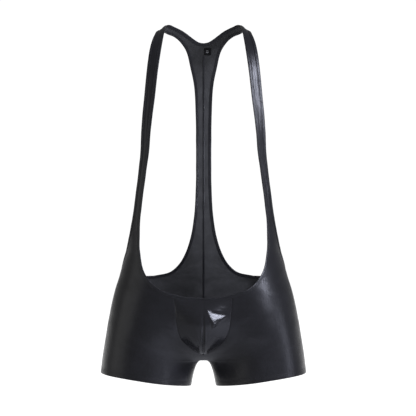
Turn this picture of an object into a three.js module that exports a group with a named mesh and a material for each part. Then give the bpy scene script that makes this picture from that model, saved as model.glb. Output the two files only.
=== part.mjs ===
// Wrestling singlet, filled out with no wearer. Millimetres, +Z up, front facing -Y.
// The origin lies midway between the tops of the two shoulder straps, on the shoulder ridge.
// Left and right are the wearer's: left is +X.
import * as THREE from "three";

// Driving dimensions
const CLOTH = 1.3; // wall of one layer of coated stretch cloth
const BAND_WALL = 2.0; // folded binding at neck and armholes
const HEM_EXTRA = 0.9; // turned leg hem, added inside
const NECK_BAND = 6.5; // width of the neck binding
const ARM_BAND = 5.5; // width of the armhole binding
const HEM_DEPTH = 10; // width of the turned leg hem
const SEAM_GAP = 0.3; // between neighbouring pieces
const STRAP_INNER = 69; // neck edge of the strap at the ridge, from the middle
const SHOULDER_SLOPE = 0.78; // drop of the strap across its width at the ridge
const SLOPE_FADE = 60; // distance along the strap in which that slope fades
const CROTCH = -618.5; // height of the crotch
const HEM_LEVEL = -669.5; // height of the leg hem, taken on to the middle
const HEM_SLANT = 1.5; // how much sooner the hem rises near the inner leg
const HEM_INNER = 22.9; // inner leg from the middle, at the hem
const LEG_OPENING = 0.33; // power by which the legs part below the crotch: low is quick
const SIDE_OF_ARMHOLE = -440; // height at which the armhole passes the side
const ARMHOLE_DIP = 27; // how far the back of the armhole lies below that
const DIP_REACH = 85; // distance from the side in which the armhole rises to it
const DIP_FADE = 75; // height below the armhole in which that rise dies away
const POUCH_FULLNESS = 20; // forward fullness of the pouch
const POUCH_SWELL = { down: 0.8, across: 1.1 }; // powers: low is blunt, high is pointed
const LABEL = { wide: 13, high: 16, from: 1, below: 9, wall: 1 };

// Sizes of a general figure at each height: half breadth, then depth forwards and back.
const FIGURE = [
  { z: 0, half: 165, front: 92, back: 104 },
  { z: -100, half: 160, front: 100, back: 107 },
  { z: -200, half: 158, front: 108, back: 107 },
  { z: -250, half: 151, front: 106, back: 101 },
  { z: -300, half: 145, front: 103, back: 95 },
  { z: -350, half: 141.5, front: 100, back: 91 },
  { z: -414, half: 143.8, front: 99, back: 93 },
  { z: -459, half: 153.9, front: 101, back: 101 },
  { z: -489, half: 163.2, front: 102, back: 110 },
  { z: -518, half: 170.1, front: 102, back: 118 },
  { z: -548, half: 175.7, front: 101, back: 124 },
  { z: -578, half: 180.8, front: 99, back: 124 },
  { z: -607, half: 185.4, front: 97, back: 118 },
  { z: -637, half: 189.2, front: 95, back: 108 },
];

// How much higher a level lies at the side than in the middle, for the slanted leg hem.
const LIFT = [
  { level: 0, up: 0 },
  { level: -480, up: 0 },
  { level: -540, up: 3 },
  { level: -580, up: 8 },
  { level: -618.5, up: 15.8 },
  { level: -669.5, up: 30.5 },
];

// Distance from the middle at which the flat of the front or back turns into the side.
const FLAT = [
  { level: 0, half: 25 },
  { level: -300, half: 30 },
  { level: -440, half: 48 },
  { level: -530, half: 80 },
  { level: -618.5, half: 104 },
  { level: -670, half: 104 },
];

// Neck edge of the front, from the ridge down the strap and round the scoop to the middle.
const FRONT_NECK = [
  { x: 69, z: 0 },
  { x: 71, z: -16 },
  { x: 73, z: -31 },
  { x: 76.4, z: -56 },
  { x: 82.2, z: -101 },
  { x: 88.9, z: -159 },
  { x: 95.2, z: -216 },
  { x: 102.4, z: -273 },
  { x: 110.4, z: -330 },
  { x: 113.8, z: -358 },
  { x: 114.7, z: -387 },
  { x: 114.4, z: -412 },
  { x: 109.9, z: -440 },
  { x: 98.6, z: -463.4 },
  { x: 79.8, z: -481 },
  { x: 58.7, z: -489 },
  { x: 31, z: -495.6 },
  { x: 0, z: -497.2 },
];

// Armhole edge of the front strap, from the ridge down. Below its last row it turns to the side.
const FRONT_ARM = [
  { x: 85, z: 0 },
  { x: 88.2, z: -16 },
  { x: 91.8, z: -29 },
  { x: 96.9, z: -54 },
  { x: 102.2, z: -101 },
  { x: 107.6, z: -158 },
  { x: 111.5, z: -215 },
  { x: 116.4, z: -272 },
  { x: 124.3, z: -330 },
  { x: 134.7, z: -388 },
  { x: 140.7, z: -414 },
];

// Seam between the pouch and the side panels.
const POUCH_SEAM = [
  { x: 52, z: -488 },
  { x: 51.5, z: -504 },
  { x: 50, z: -519 },
  { x: 47, z: -550 },
  { x: 43.5, z: -565 },
  { x: 39, z: -575 },
  { x: 30.5, z: -585 },
  { x: 21, z: -592.5 },
  { x: 11, z: -599 },
  { x: 0, z: -603 },
];

// Neck edge of the yoke, from the ridge to the middle of the back.
const BACK_NECK = [
  { x: 69, z: 0 },
  { x: 55.9, z: -5 },
  { x: 48, z: -8.8 },
  { x: 35.8, z: -14.4 },
  { x: 25.7, z: -19.8 },
  { x: 15.9, z: -25 },
  { x: 8.3, z: -28.2 },
  { x: 0, z: -29.6 },
];

// Armhole edge of the back: under the yoke, down the narrow strap, out to the armhole's bottom.
const BACK_ARM = [
  { x: 85, z: 0 },
  { x: 69.5, z: -10 },
  { x: 55.5, z: -17.3 },
  { x: 44.4, z: -25.4 },
  { x: 32.9, z: -40.5 },
  { x: 25, z: -70 },
  { x: 18.9, z: -99 },
  { x: 15.8, z: -145 },
  { x: 14.6, z: -220 },
  { x: 14.6, z: -270 },
  { x: 15.9, z: -320 },
  { x: 19.2, z: -360 },
  { x: 24.2, z: -390 },
  { x: 32.2, z: -417 },
  { x: 46.6, z: -444 },
  { x: 64.6, z: -460 },
  { x: 95, z: -467 },
];

// Round shapes over the shoulder and under the crotch
const FRONT = { sign: -1, depth: "front", shoulder: 110, seatTop: -520, roundness: 2 };
const BACK = { sign: 1, depth: "back", shoulder: 145, seatTop: -560, roundness: 2.2 };
const SIDE_POWER = 3.4; // how late the back of the armhole rises to the side
const SECTION_POWER = 2.25; // squareness of the section towards the side
const HALF_STEPS = 40; // steps in each half of a section
const LINE_STEPS = 260; // steps in a smooth edge line
const CELL = 18; // width of a cell across a panel, and its greatest length along a line
const EDGE_CELL = 5; // width of the first cell of a wide row, beside its inner edge
const SAG = 0.06; // how far a straight step may leave a curved line
const APART = SEAM_GAP + SAG; // from a binding's seam to the panel's edge
const STEP = 0.5; // for slopes on the cloth
const SIDE_STEPS = 60; // steps in the level end of the armhole line
const MOST_CELLS = 15; // cells across a panel at most
const CROTCH_REACH = 6; // height near the crotch in which left and right keep a whole gap
const STRAP_ROWS = { front: 24, back: 30, bend: 4 }; // rows down the strap, then where it bends
const BEND = { front: 40, below: 8, back: 50, last: 6 }; // reach of the bend along the strap
const POUCH_ROWS = 8; // rows beside the pouch
const ROW_DROP = 14; // height of a row below that
const CROTCH_ROWS = { share: 0.8, count: 7 }; // closer rows in the lower share of the seat
const LEG_ROWS = 5; // rows from the crotch to the hem
const HEM_STEP = 0.4; // height in which the wall thickens to the turned hem
const POUCH_CELL = 8; // width of a cell across the pouch

// A smooth curve through a table that never overshoots its rows, by monotone cubics.
function column(rows, from, to) {
  const sorted = [...rows].sort((a, b) => a[from] - b[from]);
  const x = sorted.map((r) => r[from]);
  const y = sorted.map((r) => r[to]);
  const slope = x.slice(1).map((next, i) => (y[i + 1] - y[i]) / (next - x[i]));
  const tangent = x.map((_, i) => {
    if (i === 0) return slope[0];
    if (i === x.length - 1) return slope[i - 1];
    const [a, b] = [slope[i - 1], slope[i]];
    return a * b <= 0 ? 0 : (2 * a * b) / (a + b);
  });
  return (value) => {
    const v = Math.min(Math.max(value, x[0]), x[x.length - 1]);
    let i = 0;
    while (i < x.length - 2 && v > x[i + 1]) i += 1;
    const h = x[i + 1] - x[i];
    const t = (v - x[i]) / h;
    const rise = (3 - 2 * t) * t * t;
    return (
      y[i] * (1 - rise) +
      y[i + 1] * rise +
      h * t * (1 - t) * (tangent[i] * (1 - t) - tangent[i + 1] * t)
    );
  };
}

const halfBreadth = column(FIGURE, "z", "half");
const depthOf = {
  front: column(FIGURE, "z", "front"),
  back: column(FIGURE, "z", "back"),
};
const liftAt = column(LIFT, "level", "up");
const flatHalf = column(FLAT, "level", "half");

// Height of a row that lies a given way down the strap from the ridge, and the way back.
function levelAt(face, down) {
  const quarter = (face.shoulder * Math.PI) / 2;
  if (down > quarter) return -face.shoulder - (down - quarter);
  return -face.shoulder * (1 - Math.cos(down / face.shoulder));
}

function downAt(face, level) {
  const quarter = (face.shoulder * Math.PI) / 2;
  if (level < -face.shoulder) return quarter - level - face.shoulder;
  return face.shoulder * Math.acos(1 + level / face.shoulder);
}

// How far the cloth has come forward from the ridge: 0 on it, 1 once past the shoulder.
function archAt(face, down) {
  return Math.sin(Math.min(down / face.shoulder, Math.PI / 2));
}

// Depth of the middle line, which runs under the crotch.
function middleDepth(face, level) {
  const depth = depthOf[face.depth](level);
  if (level > face.seatTop) return depth;
  if (level <= CROTCH) return 0;
  const t = (face.seatTop - level) / (face.seatTop - CROTCH);
  return depth * Math.sqrt(1 - t ** face.roundness);
}

// Inner side of the leg, which opens quickly below the crotch.
function innerLeg(level) {
  if (level >= CROTCH) return 0;
  return HEM_INNER * ((CROTCH - level) / (CROTCH - HEM_LEVEL)) ** LEG_OPENING;
}

// Rise of the back's levels towards the side, so that one of them is the armhole's bottom.
function sideRise(face, level) {
  if (face !== BACK) return 0;
  const low = SIDE_OF_ARMHOLE - ARMHOLE_DIP;
  const t = (low - level) / DIP_FADE;
  if (t <= 0) return ARMHOLE_DIP;
  return t >= 1 ? 0 : ARMHOLE_DIP * (1 - t) ** 2 * (1 + 2 * t);
}

// One level of the garment from the middle, or the inner leg, round to the side.
function section(face, down) {
  const level = levelAt(face, down);
  const lift = liftAt(level);
  const rise = sideRise(face, level);
  const half = halfBreadth(level + lift + rise);
  const depth = depthOf[face.depth](level);
  const middle = middleDepth(face, level);
  const flat = flatHalf(level);
  const inner = innerLeg(level);
  const arch = archAt(face, down);
  const slope = SHOULDER_SLOPE * Math.exp(-((down / SLOPE_FADE) ** 2));
  const flatPoints = [];
  for (let i = 0; i < HALF_STEPS; i += 1) {
    const t = i / HALF_STEPS;
    const swing = Math.sin((t * Math.PI) / 2);
    flatPoints.push([
      Math.hypot(inner, Math.sqrt(flat ** 2 - inner ** 2) * t),
      Math.hypot(middle, Math.sqrt(Math.max(depth ** 2 - middle ** 2, 0)) * swing),
    ]);
  }
  for (let i = 0; i <= HALF_STEPS; i += 1) {
    const angle = ((i / HALF_STEPS) * Math.PI) / 2;
    flatPoints.push([
      flat + (half - flat) * Math.sin(angle) ** (2 / SECTION_POWER),
      depth * Math.max(Math.cos(angle), 0) ** (2 / SECTION_POWER),
    ]);
  }
  const length = [0];
  for (let i = 1; i < flatPoints.length; i += 1) {
    const [a, b] = [flatPoints[i - 1], flatPoints[i]];
    length.push(length[i - 1] + Math.hypot(b[0] - a[0], b[1] - a[1]));
  }
  const total = length[length.length - 1];
  const points = flatPoints.map(([x, y], i) => {
    const near = Math.max(0, 1 - (total - length[i]) / DIP_REACH);
    const slant = 1 - (1 - Math.min(x / half, 1)) ** HEM_SLANT;
    const z = level + lift * slant + rise * near ** SIDE_POWER - slope * (x - STRAP_INNER);
    return new THREE.Vector3(x, face.sign * y * arch, z);
  });
  return { points, length, total, flatX: flatPoints.map((p) => p[0]) };
}

// The point at a given way in from the side, measured round the section.
function pointOn(row, inward) {
  const along = row.total - inward;
  const last = row.length.length - 2;
  let i = 0;
  while (i < last && along > row.length[i + 1]) i += 1;
  const t = (along - row.length[i]) / (row.length[i + 1] - row.length[i]);
  return row.points[i].clone().lerp(row.points[i + 1], t);
}

function surface(face, at) {
  return pointOn(section(face, at.down), at.inward);
}

// The way in from the side at which a section is a given distance from the middle.
function inwardOf(face, x, down) {
  const row = section(face, down);
  const last = row.flatX.length - 2;
  let i = 0;
  while (i < last && x > row.flatX[i + 1]) i += 1;
  const t = (x - row.flatX[i]) / (row.flatX[i + 1] - row.flatX[i] || 1);
  return row.total - (row.length[i] + t * (row.length[i + 1] - row.length[i]));
}

// How the cloth runs across and along at a place, as the change of point with each coordinate.
function slopes(face, at) {
  const across = surface(face, { ...at, inward: at.inward + STEP })
    .sub(surface(face, { ...at, inward: at.inward - STEP }))
    .divideScalar(2 * STEP);
  const low = Math.max(at.down - STEP, 0);
  const along = surface(face, { ...at, down: at.down + STEP })
    .sub(surface(face, { ...at, down: low }))
    .divideScalar(at.down + STEP - low);
  return { across, along };
}

// Direction out of the garment at a place.
function normalAt(face, at) {
  const { across, along } = slopes(face, at);
  return across.cross(along).normalize().multiplyScalar(-face.sign);
}

// A smooth edge line on the cloth, through a table of places.
function edgeLine(face, rows, end) {
  const knots = rows.map((r) => {
    const down = downAt(face, r.z);
    return new THREE.Vector3(inwardOf(face, r.x, down), down, 0);
  });
  if (end) knots.push(new THREE.Vector3(end.inward, end.down, 0));
  const curve = new THREE.CatmullRomCurve3(knots, false, "centripetal");
  return curve.getSpacedPoints(LINE_STEPS).map((p) => ({ inward: p.x, down: p.y }));
}

// The same line moved over the cloth by a real distance: positive is towards larger inward.
function shifted(face, line, distance) {
  return line.map((at, i) => {
    const a = line[Math.max(i - 1, 0)];
    const b = line[Math.min(i + 1, line.length - 1)];
    const [p, q] = [b.inward - a.inward, b.down - a.down];
    const { across, along } = slopes(face, at);
    const [aa, ab, bb] = [across.dot(across), across.dot(along), along.dot(along)];
    const [m, n] = [ab * p + bb * q, -(aa * p + ab * q)];
    const size = Math.sqrt(aa * m * m + 2 * ab * m * n + bb * n * n);
    return {
      inward: at.inward + (distance * m) / size,
      down: Math.max(at.down + (distance * n) / size, 0),
    };
  });
}

// The value of one coordinate of a line where another coordinate has a given value.
function lookUp(line, key, value, wanted) {
  const end = [line[0], line[line.length - 1]].find((at) => Math.abs(at[key] - value) < 0.02);
  if (end) return end[wanted];
  for (let i = 1; i < line.length; i += 1) {
    const [a, b] = [line[i - 1], line[i]];
    if ((a[key] - value) * (b[key] - value) > 0 || a[key] === b[key]) continue;
    return a[wanted] + ((b[wanted] - a[wanted]) * (value - a[key])) / (b[key] - a[key]);
  }
  return null;
}

// Cuts or lengthens the end of a line so that it stops where a measure reaches the seam.
function endedAt(line, measure) {
  const clear = SEAM_GAP / 2;
  let last = line.length - 1;
  while (measure(line[last]) <= clear) last -= 1;
  const from = Math.min(last, line.length - 2);
  const [a, b] = [line[from], line[from + 1]];
  const t = (measure(a) - clear) / (measure(a) - measure(b));
  const end = {
    inward: a.inward + (b.inward - a.inward) * t,
    down: a.down + (b.down - a.down) * t,
  };
  return [...line.slice(0, last + 1), end];
}

// A line from the ridge to the middle or to the side, ended just short of both.
function fitted(face, line, toMiddle) {
  const fromMiddle = (at) => surface(face, at).x;
  const fromSide = (at) => at.inward;
  const below = endedAt([...line].reverse(), (at) => at.down).reverse();
  return endedAt(below, toMiddle ? fromMiddle : fromSide);
}

// Places along a line: close together where it curves, far apart where it runs straight.
function stations(face, line) {
  const points = line.map((at) => surface(face, at));
  const chosen = [0];
  const segment = new THREE.Line3();
  const foot = new THREE.Vector3();
  while (chosen[chosen.length - 1] < line.length - 1) {
    const from = chosen[chosen.length - 1];
    let to = from + 1;
    while (to + 1 < line.length && points[from].distanceTo(points[to + 1]) < CELL) {
      segment.set(points[from], points[to + 1]);
      const strays = points.slice(from + 1, to + 1).some((p) => {
        return segment.closestPointToPoint(p, true, foot).distanceTo(p) > SAG;
      });
      if (strays) break;
      to += 1;
    }
    chosen.push(to);
  }
  return chosen.map((i) => line[i]);
}

// Edges of the cut, and the seams that run beside them
const sideDown = downAt(FRONT, SIDE_OF_ARMHOLE);
const backLow = downAt(BACK, SIDE_OF_ARMHOLE - ARMHOLE_DIP);
const frontNeck = edgeLine(FRONT, FRONT_NECK);
const frontArm = edgeLine(FRONT, FRONT_ARM, { inward: 0, down: sideDown });
const backNeck = edgeLine(BACK, BACK_NECK);
const flare = edgeLine(BACK, BACK_ARM);
const flareEnd = flare[flare.length - 1];
const backArm = [
  ...flare,
  ...spread(flareEnd.inward, 0, SIDE_STEPS).slice(1).map((inward) => ({ inward, down: backLow })),
];
const pouchSeam = edgeLine(FRONT, POUCH_SEAM);
const frontNeckSeam = fitted(FRONT, shifted(FRONT, frontNeck, -NECK_BAND - APART), true);
const frontArmSeam = fitted(FRONT, shifted(FRONT, frontArm, ARM_BAND + APART), false);
const backNeckSeam = fitted(BACK, shifted(BACK, backNeck, -NECK_BAND - APART), true);
const backArmSeam = fitted(BACK, shifted(BACK, backArm, ARM_BAND + APART), false);

// A patch of cloth: its middle surface, normals, and how far each point is thickened.
class Patch {
  constructor() {
    this.points = [];
    this.keys = [];
    this.normals = [];
    this.out = [];
    this.in = [];
    this.faces = [];
  }

  add(point, key, normal, out = CLOTH / 2, inside = CLOTH / 2) {
    this.points.push(point);
    this.keys.push(key);
    this.normals.push(normal);
    this.out.push(out);
    this.in.push(inside);
    return this.points.length - 1;
  }

  // Joins two rows of points with a strip of triangles, the nearer in key joined first.
  strip(a, b) {
    let [i, j] = [0, 0];
    const next = (row, at) => (at < row.length - 1 ? this.keys[row[at + 1]] : -Infinity);
    while (i < a.length - 1 || j < b.length - 1) {
      if (next(a, i) >= next(b, j)) {
        this.faces.push([a[i], a[i + 1], b[j]]);
        i += 1;
      } else {
        this.faces.push([a[i], b[j + 1], b[j]]);
        j += 1;
      }
    }
  }

  // Thickens the patch into one closed wall.
  solid() {
    const count = this.points.length;
    const vertices = [];
    for (const side of [1, -1]) {
      this.points.forEach((p, i) => {
        const reach = side > 0 ? this.out[i] : -this.in[i];
        vertices.push(...p.clone().addScaledVector(this.normals[i], reach).toArray());
      });
    }
    const index = [];
    const edges = new Map();
    for (const [a, b, c] of this.faces) {
      index.push(a, b, c, a + count, c + count, b + count);
      for (const [from, to] of [[a, b], [b, c], [c, a]]) {
        if (edges.delete(`${to},${from}`)) continue;
        edges.set(`${from},${to}`, [from, to]);
      }
    }
    for (const [from, to] of edges.values()) {
      index.push(from, from + count, to, to, from + count, to + count);
    }
    const geometry = new THREE.BufferGeometry();
    geometry.setAttribute("position", new THREE.Float32BufferAttribute(vertices, 3));
    geometry.setIndex(signedVolume(vertices, index) < 0 ? reversed(index) : index);
    geometry.computeVertexNormals();
    return geometry;
  }
}

function signedVolume(vertices, index) {
  const corner = (i) => new THREE.Vector3().fromArray(vertices, index[i] * 3);
  let volume = 0;
  for (let i = 0; i < index.length; i += 3) {
    volume += corner(i).dot(corner(i + 1).cross(corner(i + 2))) / 6;
  }
  return volume;
}

function reversed(index) {
  const turned = [...index];
  for (let i = 0; i < turned.length; i += 3) {
    [turned[i + 1], turned[i + 2]] = [turned[i + 2], turned[i + 1]];
  }
  return turned;
}

// Values evenly spread from one end to the other, both ends included.
function spread(from, to, count) {
  return Array.from({ length: count + 1 }, (_, i) => from + ((to - from) * i) / count);
}

// Normal of a panel point, squared up where left meets right and front meets back.
function seamNormal(face, at, onMiddle, onSide) {
  const normal = normalAt(face, at);
  if (onMiddle) normal.x = 0;
  if (onSide) normal.y = 0;
  return normal.normalize();
}

// One row of a panel between two ways in from the side, or right to the middle or the side.
function panelRow(patch, face, down, inner, outer) {
  const level = levelAt(face, down);
  const row = section(face, down);
  const toMiddle = inner === null;
  const clear = Math.abs(level - CROTCH) < CROTCH_REACH ? SEAM_GAP : SEAM_GAP / 2;
  const start = toMiddle ? row.total - clear : inner;
  const end = outer === null ? SEAM_GAP / 2 : outer;
  const cells = Math.min(Math.max(Math.round((start - end) / CELL), 2), MOST_CELLS);
  const hem = level < HEM_LEVEL + HEM_DEPTH + SEAM_GAP;
  const wide = start - end > 2 * CELL;
  const inwards = wide ? [start, ...spread(start - EDGE_CELL, end, cells)] : spread(start, end, cells);
  return inwards.map((inward, i) => {
    const first = i === 0 && toMiddle;
    const last = i === inwards.length - 1 && outer === null;
    const onMiddle = first && level > CROTCH - 0.5;
    const onSide = last || down < 1 || (first && level <= CROTCH + 0.01);
    const normal = seamNormal(face, { inward, down }, onMiddle, onSide);
    const inside = CLOTH / 2 + (hem ? HEM_EXTRA : 0);
    return patch.add(pointOn(row, inward), inward, normal, CLOTH / 2, inside);
  });
}

// Places of an edge that lie between two levels, as points of a patch.
function between(patch, face, line, high, low) {
  if (!line) return [];
  const places = line.filter((at) => at.down > high + 0.1 && at.down < low - 0.1);
  return places.map((at) => patch.add(surface(face, at), at.inward, normalAt(face, at)));
}

// Joins rows into a panel, with the finer steps of its curved edges let in between them. The
// steps of an inner edge fan out from the row's second point, so that none folds over.
function joinPanel(patch, face, rows, downs, innerEdge, outerEdge) {
  for (let i = 1; i < rows.length; i += 1) {
    let [upper, lower] = [rows[i - 1], rows[i]];
    const key = (row, at) => patch.keys[row[at]];
    const inner = between(patch, face, innerEdge, downs[i - 1], downs[i]);
    if (inner.length > 0 && key(upper, 0) < key(lower, 0)) {
      upper = [...inner.reverse(), ...upper];
      patch.faces.push([upper[0], lower[1], lower[0]]);
      lower = lower.slice(1);
    } else if (inner.length > 0) {
      lower = [...inner, ...lower];
      patch.faces.push([upper[0], upper[1], lower[0]]);
      upper = upper.slice(1);
    }
    const outer = between(patch, face, outerEdge, downs[i - 1], downs[i]);
    const widens = key(upper, upper.length - 1) > key(lower, lower.length - 1);
    if (widens) upper = [...upper, ...outer];
    else lower = [...lower, ...outer.reverse()];
    patch.strip(upper, lower);
  }
}

// Levels from the lowest full one down through the crotch to the hem.
function lowerLevels(face, top) {
  const curve = face.seatTop - CROTCH;
  const close = curve * CROTCH_ROWS.share;
  const nearCrotch = spread(0, 1, CROTCH_ROWS.count).slice(1, -1).map((t) => {
    return CROTCH + close * t * t;
  });
  const rowCount = 6 + Math.round((top - face.seatTop) / ROW_DROP);
  const rows = spread(top, CROTCH + close, rowCount);
  const legs = spread(0, 1, LEG_ROWS).slice(1).map((t) => {
    return CROTCH + (HEM_LEVEL + HEM_DEPTH - CROTCH) * t * t;
  });
  return [
    ...rows,
    ...nearCrotch.reverse(),
    CROTCH,
    ...legs,
    HEM_LEVEL + HEM_DEPTH - HEM_STEP,
    HEM_LEVEL,
  ].map((level) => downAt(face, level));
}

function joinRows(patch, rows) {
  rows.slice(1).forEach((row, i) => patch.strip(rows[i], row));
}

// Where the scoop's seam meets the pouch seam.
function scoopCorner() {
  let [high, low] = [downAt(FRONT, -470), downAt(FRONT, -503)];
  for (let i = 0; i < 40; i += 1) {
    const middle = (high + low) / 2;
    const scoop = lookUp(frontNeckSeam, "down", middle, "inward");
    const seam = lookUp(pouchSeam, "down", middle, "inward") ?? Infinity;
    if (scoop !== null && scoop < seam) high = middle;
    else low = middle;
  }
  return low;
}

const cornerDown = scoopCorner();
const pouchEnd = pouchSeam[pouchSeam.length - 1].down;
const besidePouch = (distance) => shifted(FRONT, pouchSeam, distance);

function frontPanel() {
  const patch = new Patch();
  const seam = besidePouch(-SEAM_GAP / 2).filter((at) => at.down > cornerDown);
  const strapEnd = sideDown + BEND.below;
  const neckEdge = stations(FRONT, frontNeckSeam).filter((at) => at.down < cornerDown);
  const armEdge = stations(FRONT, frontArmSeam);
  const lower = lowerLevels(FRONT, levelAt(FRONT, pouchEnd)).filter((d) => d > pouchEnd + 0.5);
  const downs = [
    ...spread(SEAM_GAP / 2, sideDown - BEND.front, STRAP_ROWS.front),
    ...spread(sideDown - BEND.front, strapEnd, STRAP_ROWS.bend).slice(1),
    ...spread(strapEnd, cornerDown, STRAP_ROWS.bend).slice(1),
    ...spread(cornerDown, pouchEnd, POUCH_ROWS).slice(1),
    ...lower,
  ];
  const rows = downs.map((down) => {
    const line = down < cornerDown ? frontNeckSeam : seam;
    const inner = down === cornerDown ? null : lookUp(line, "down", down, "inward");
    const start = down === cornerDown ? seam[0].inward : inner;
    return panelRow(patch, FRONT, down, start, lookUp(frontArmSeam, "down", down, "inward"));
  });
  joinPanel(patch, FRONT, rows, downs, [...neckEdge, ...stations(FRONT, seam)], armEdge);
  return patch.solid();
}

// The first full row of the back follows the armhole's seam from its lowest place to the side.
function armholeRow(patch, lowest) {
  const full = section(BACK, lowest.down);
  const cells = Math.round((full.total - lowest.inward) / CELL);
  const under = spread(full.total - SEAM_GAP / 2, lowest.inward, cells).map((inward, i) => {
    const at = { inward, down: lowest.down };
    return patch.add(surface(BACK, at), inward, seamNormal(BACK, at, i === 0, false));
  });
  const outward = backArmSeam.slice(backArmSeam.indexOf(lowest));
  const beside = stations(BACK, outward).slice(1).map((at, i, all) => {
    const normal = seamNormal(BACK, at, false, i === all.length - 1);
    return patch.add(surface(BACK, at), at.inward, normal);
  });
  return { under, all: [...under, ...beside] };
}

function backPanel() {
  const patch = new Patch();
  const deepest = Math.max(...backArmSeam.slice(0, LINE_STEPS).map((at) => at.down));
  const lowest = backArmSeam.find((at) => at.down >= deepest - 0.02);
  const strapLine = backArmSeam.slice(0, backArmSeam.indexOf(lowest) + 1);
  const downs = [
    ...spread(SEAM_GAP / 2, lowest.down - BEND.back, STRAP_ROWS.back),
    ...spread(lowest.down - BEND.back, lowest.down - BEND.last, STRAP_ROWS.bend).slice(1),
  ];
  const upper = downs.map((down) => {
    const inner = lookUp(backNeckSeam, "down", down, "inward");
    return panelRow(patch, BACK, down, inner, lookUp(strapLine, "down", down, "inward"));
  });
  const top = armholeRow(patch, lowest);
  const lower = lowerLevels(BACK, levelAt(BACK, lowest.down) - 12);
  const body = lower.map((down) => panelRow(patch, BACK, down, null, null));
  const [neckEdge, armEdge] = [stations(BACK, backNeckSeam), stations(BACK, strapLine)];
  const strapDowns = [...downs, lowest.down];
  joinPanel(patch, BACK, [...upper, top.under], strapDowns, neckEdge, armEdge);
  joinPanel(patch, BACK, [top.all, ...body], [lowest.down, ...lower], null, null);
  return patch.solid();
}

// Fullness of the pouch: none at its seams, most in its middle.
function fullness(across, down) {
  const rise = Math.max(Math.sin(Math.PI * down), 0);
  const fall = Math.max(Math.cos((across * Math.PI) / 2), 0);
  return POUCH_FULLNESS * rise ** POUCH_SWELL.down * fall ** POUCH_SWELL.across;
}

function pouchHalf() {
  const patch = new Patch();
  const seam = besidePouch(SEAM_GAP / 2);
  const top = frontNeckSeam.map((at) => ({ x: surface(FRONT, at).x, down: at.down }));
  const beside = seam.map((at) => ({ x: surface(FRONT, at).x, down: at.down }));
  const tip = lookUp(beside, "x", 2 * SEAM_GAP, "down");
  const downs = stations(FRONT, seam).map((at) => at.down);
  const ends = downs.filter((down) => down > cornerDown + 2 && down < tip - 0.5);
  const rows = [cornerDown, ...ends, tip].map((end) => {
    const f = (end - cornerDown) / (tip - cornerDown);
    const edge = lookUp(beside, "down", end, "x");
    const edgeDown = lookUp(top, "x", edge, "down");
    const cells = Math.max(Math.round(edge / POUCH_CELL), 1);
    return spread(SEAM_GAP / 2, edge, cells).map((x, i) => {
      const down = end + (lookUp(top, "x", x, "down") - edgeDown) * (1 - f);
      const at = { inward: inwardOf(FRONT, x, down), down };
      const normal = seamNormal(FRONT, at, i === 0, false);
      const point = surface(FRONT, at).addScaledVector(normal, fullness(x / edge, f));
      return patch.add(point, -x / edge, normal);
    });
  });
  joinRows(patch, rows);
  return patch.solid();
}

// A folded binding along an edge, from its free edge to its seam.
function binding(face, edge, width, toMiddle) {
  const patch = new Patch();
  const free = fitted(face, edge, toMiddle);
  const seam = fitted(face, shifted(face, edge, width), toMiddle);
  const inner = stations(face, seam);
  const rows = inner.map((at, i) => {
    const t = seam.indexOf(at) / (seam.length - 1);
    const beside = free[Math.round(t * (free.length - 1))];
    const atMiddle = toMiddle && i === inner.length - 1;
    const atSide = !toMiddle && i === inner.length - 1;
    return [beside, at].map((place, across) => {
      const normal = seamNormal(face, place, atMiddle, atSide || i === 0);
      return patch.add(surface(face, place), -across, normal, BAND_WALL / 2, BAND_WALL / 2);
    });
  });
  joinRows(patch, rows);
  return patch.solid();
}

// Small woven tab inside the back neck, beside the middle.
function label() {
  const patch = new Patch();
  const neckDown = backNeck[backNeck.length - 1].down + LABEL.below;
  const inside = CLOTH / 2 + SEAM_GAP + LABEL.wall / 2;
  const rows = spread(neckDown, neckDown + LABEL.high, 3).map((down) => {
    return spread(LABEL.from, LABEL.from + LABEL.wide, 3).map((x) => {
      const at = { inward: inwardOf(BACK, x, down), down };
      const normal = normalAt(BACK, at);
      const point = surface(BACK, at).addScaledVector(normal, -inside);
      return patch.add(point, -x, normal, LABEL.wall / 2, LABEL.wall / 2);
    });
  });
  joinRows(patch, rows);
  return patch.solid();
}

// The same piece on the wearer's right.
function mirrored(geometry) {
  const turned = geometry.clone().scale(-1, 1, 1);
  turned.setIndex(reversed([...geometry.index.array]));
  turned.computeVertexNormals();
  return turned;
}

const coated = { color: 0x1c1c21, roughness: 0.42, metalness: 0 };
const glossy = { color: 0x17171c, roughness: 0.25, metalness: 0 };
const bound = { color: 0x141417, roughness: 0.55, metalness: 0 };
const woven = { color: 0x0b0b0c, roughness: 0.8, metalness: 0 };

const singlet = new THREE.Group();

function place(name, geometry, finish) {
  const mesh = new THREE.Mesh(geometry, new THREE.MeshStandardMaterial(finish));
  mesh.name = name;
  singlet.add(mesh);
}

function placePair(name, geometry, finish) {
  place(`${name}_left`, geometry, finish);
  place(`${name}_right`, mirrored(geometry), finish);
}

placePair("front", frontPanel(), coated);
placePair("pouch", pouchHalf(), glossy);
placePair("back", backPanel(), coated);
placePair("neck_band_front", binding(FRONT, frontNeck, -NECK_BAND, true), bound);
placePair("neck_band_back", binding(BACK, backNeck, -NECK_BAND, true), bound);
placePair("arm_band_front", binding(FRONT, frontArm, ARM_BAND, false), bound);
placePair("arm_band_back", binding(BACK, backArm, ARM_BAND, false), bound);
place("label", label(), woven);

export default singlet;
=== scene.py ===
"""Looks of a black coated stretch singlet that stands filled out, with no wearer.

Garment sizes are in millimetres and become metres where a mesh is made. Left is the wearer's, +X.
"""
import logging
import math
from dataclasses import dataclass, field
from enum import Enum
from typing import NamedTuple, Sequence

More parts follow.
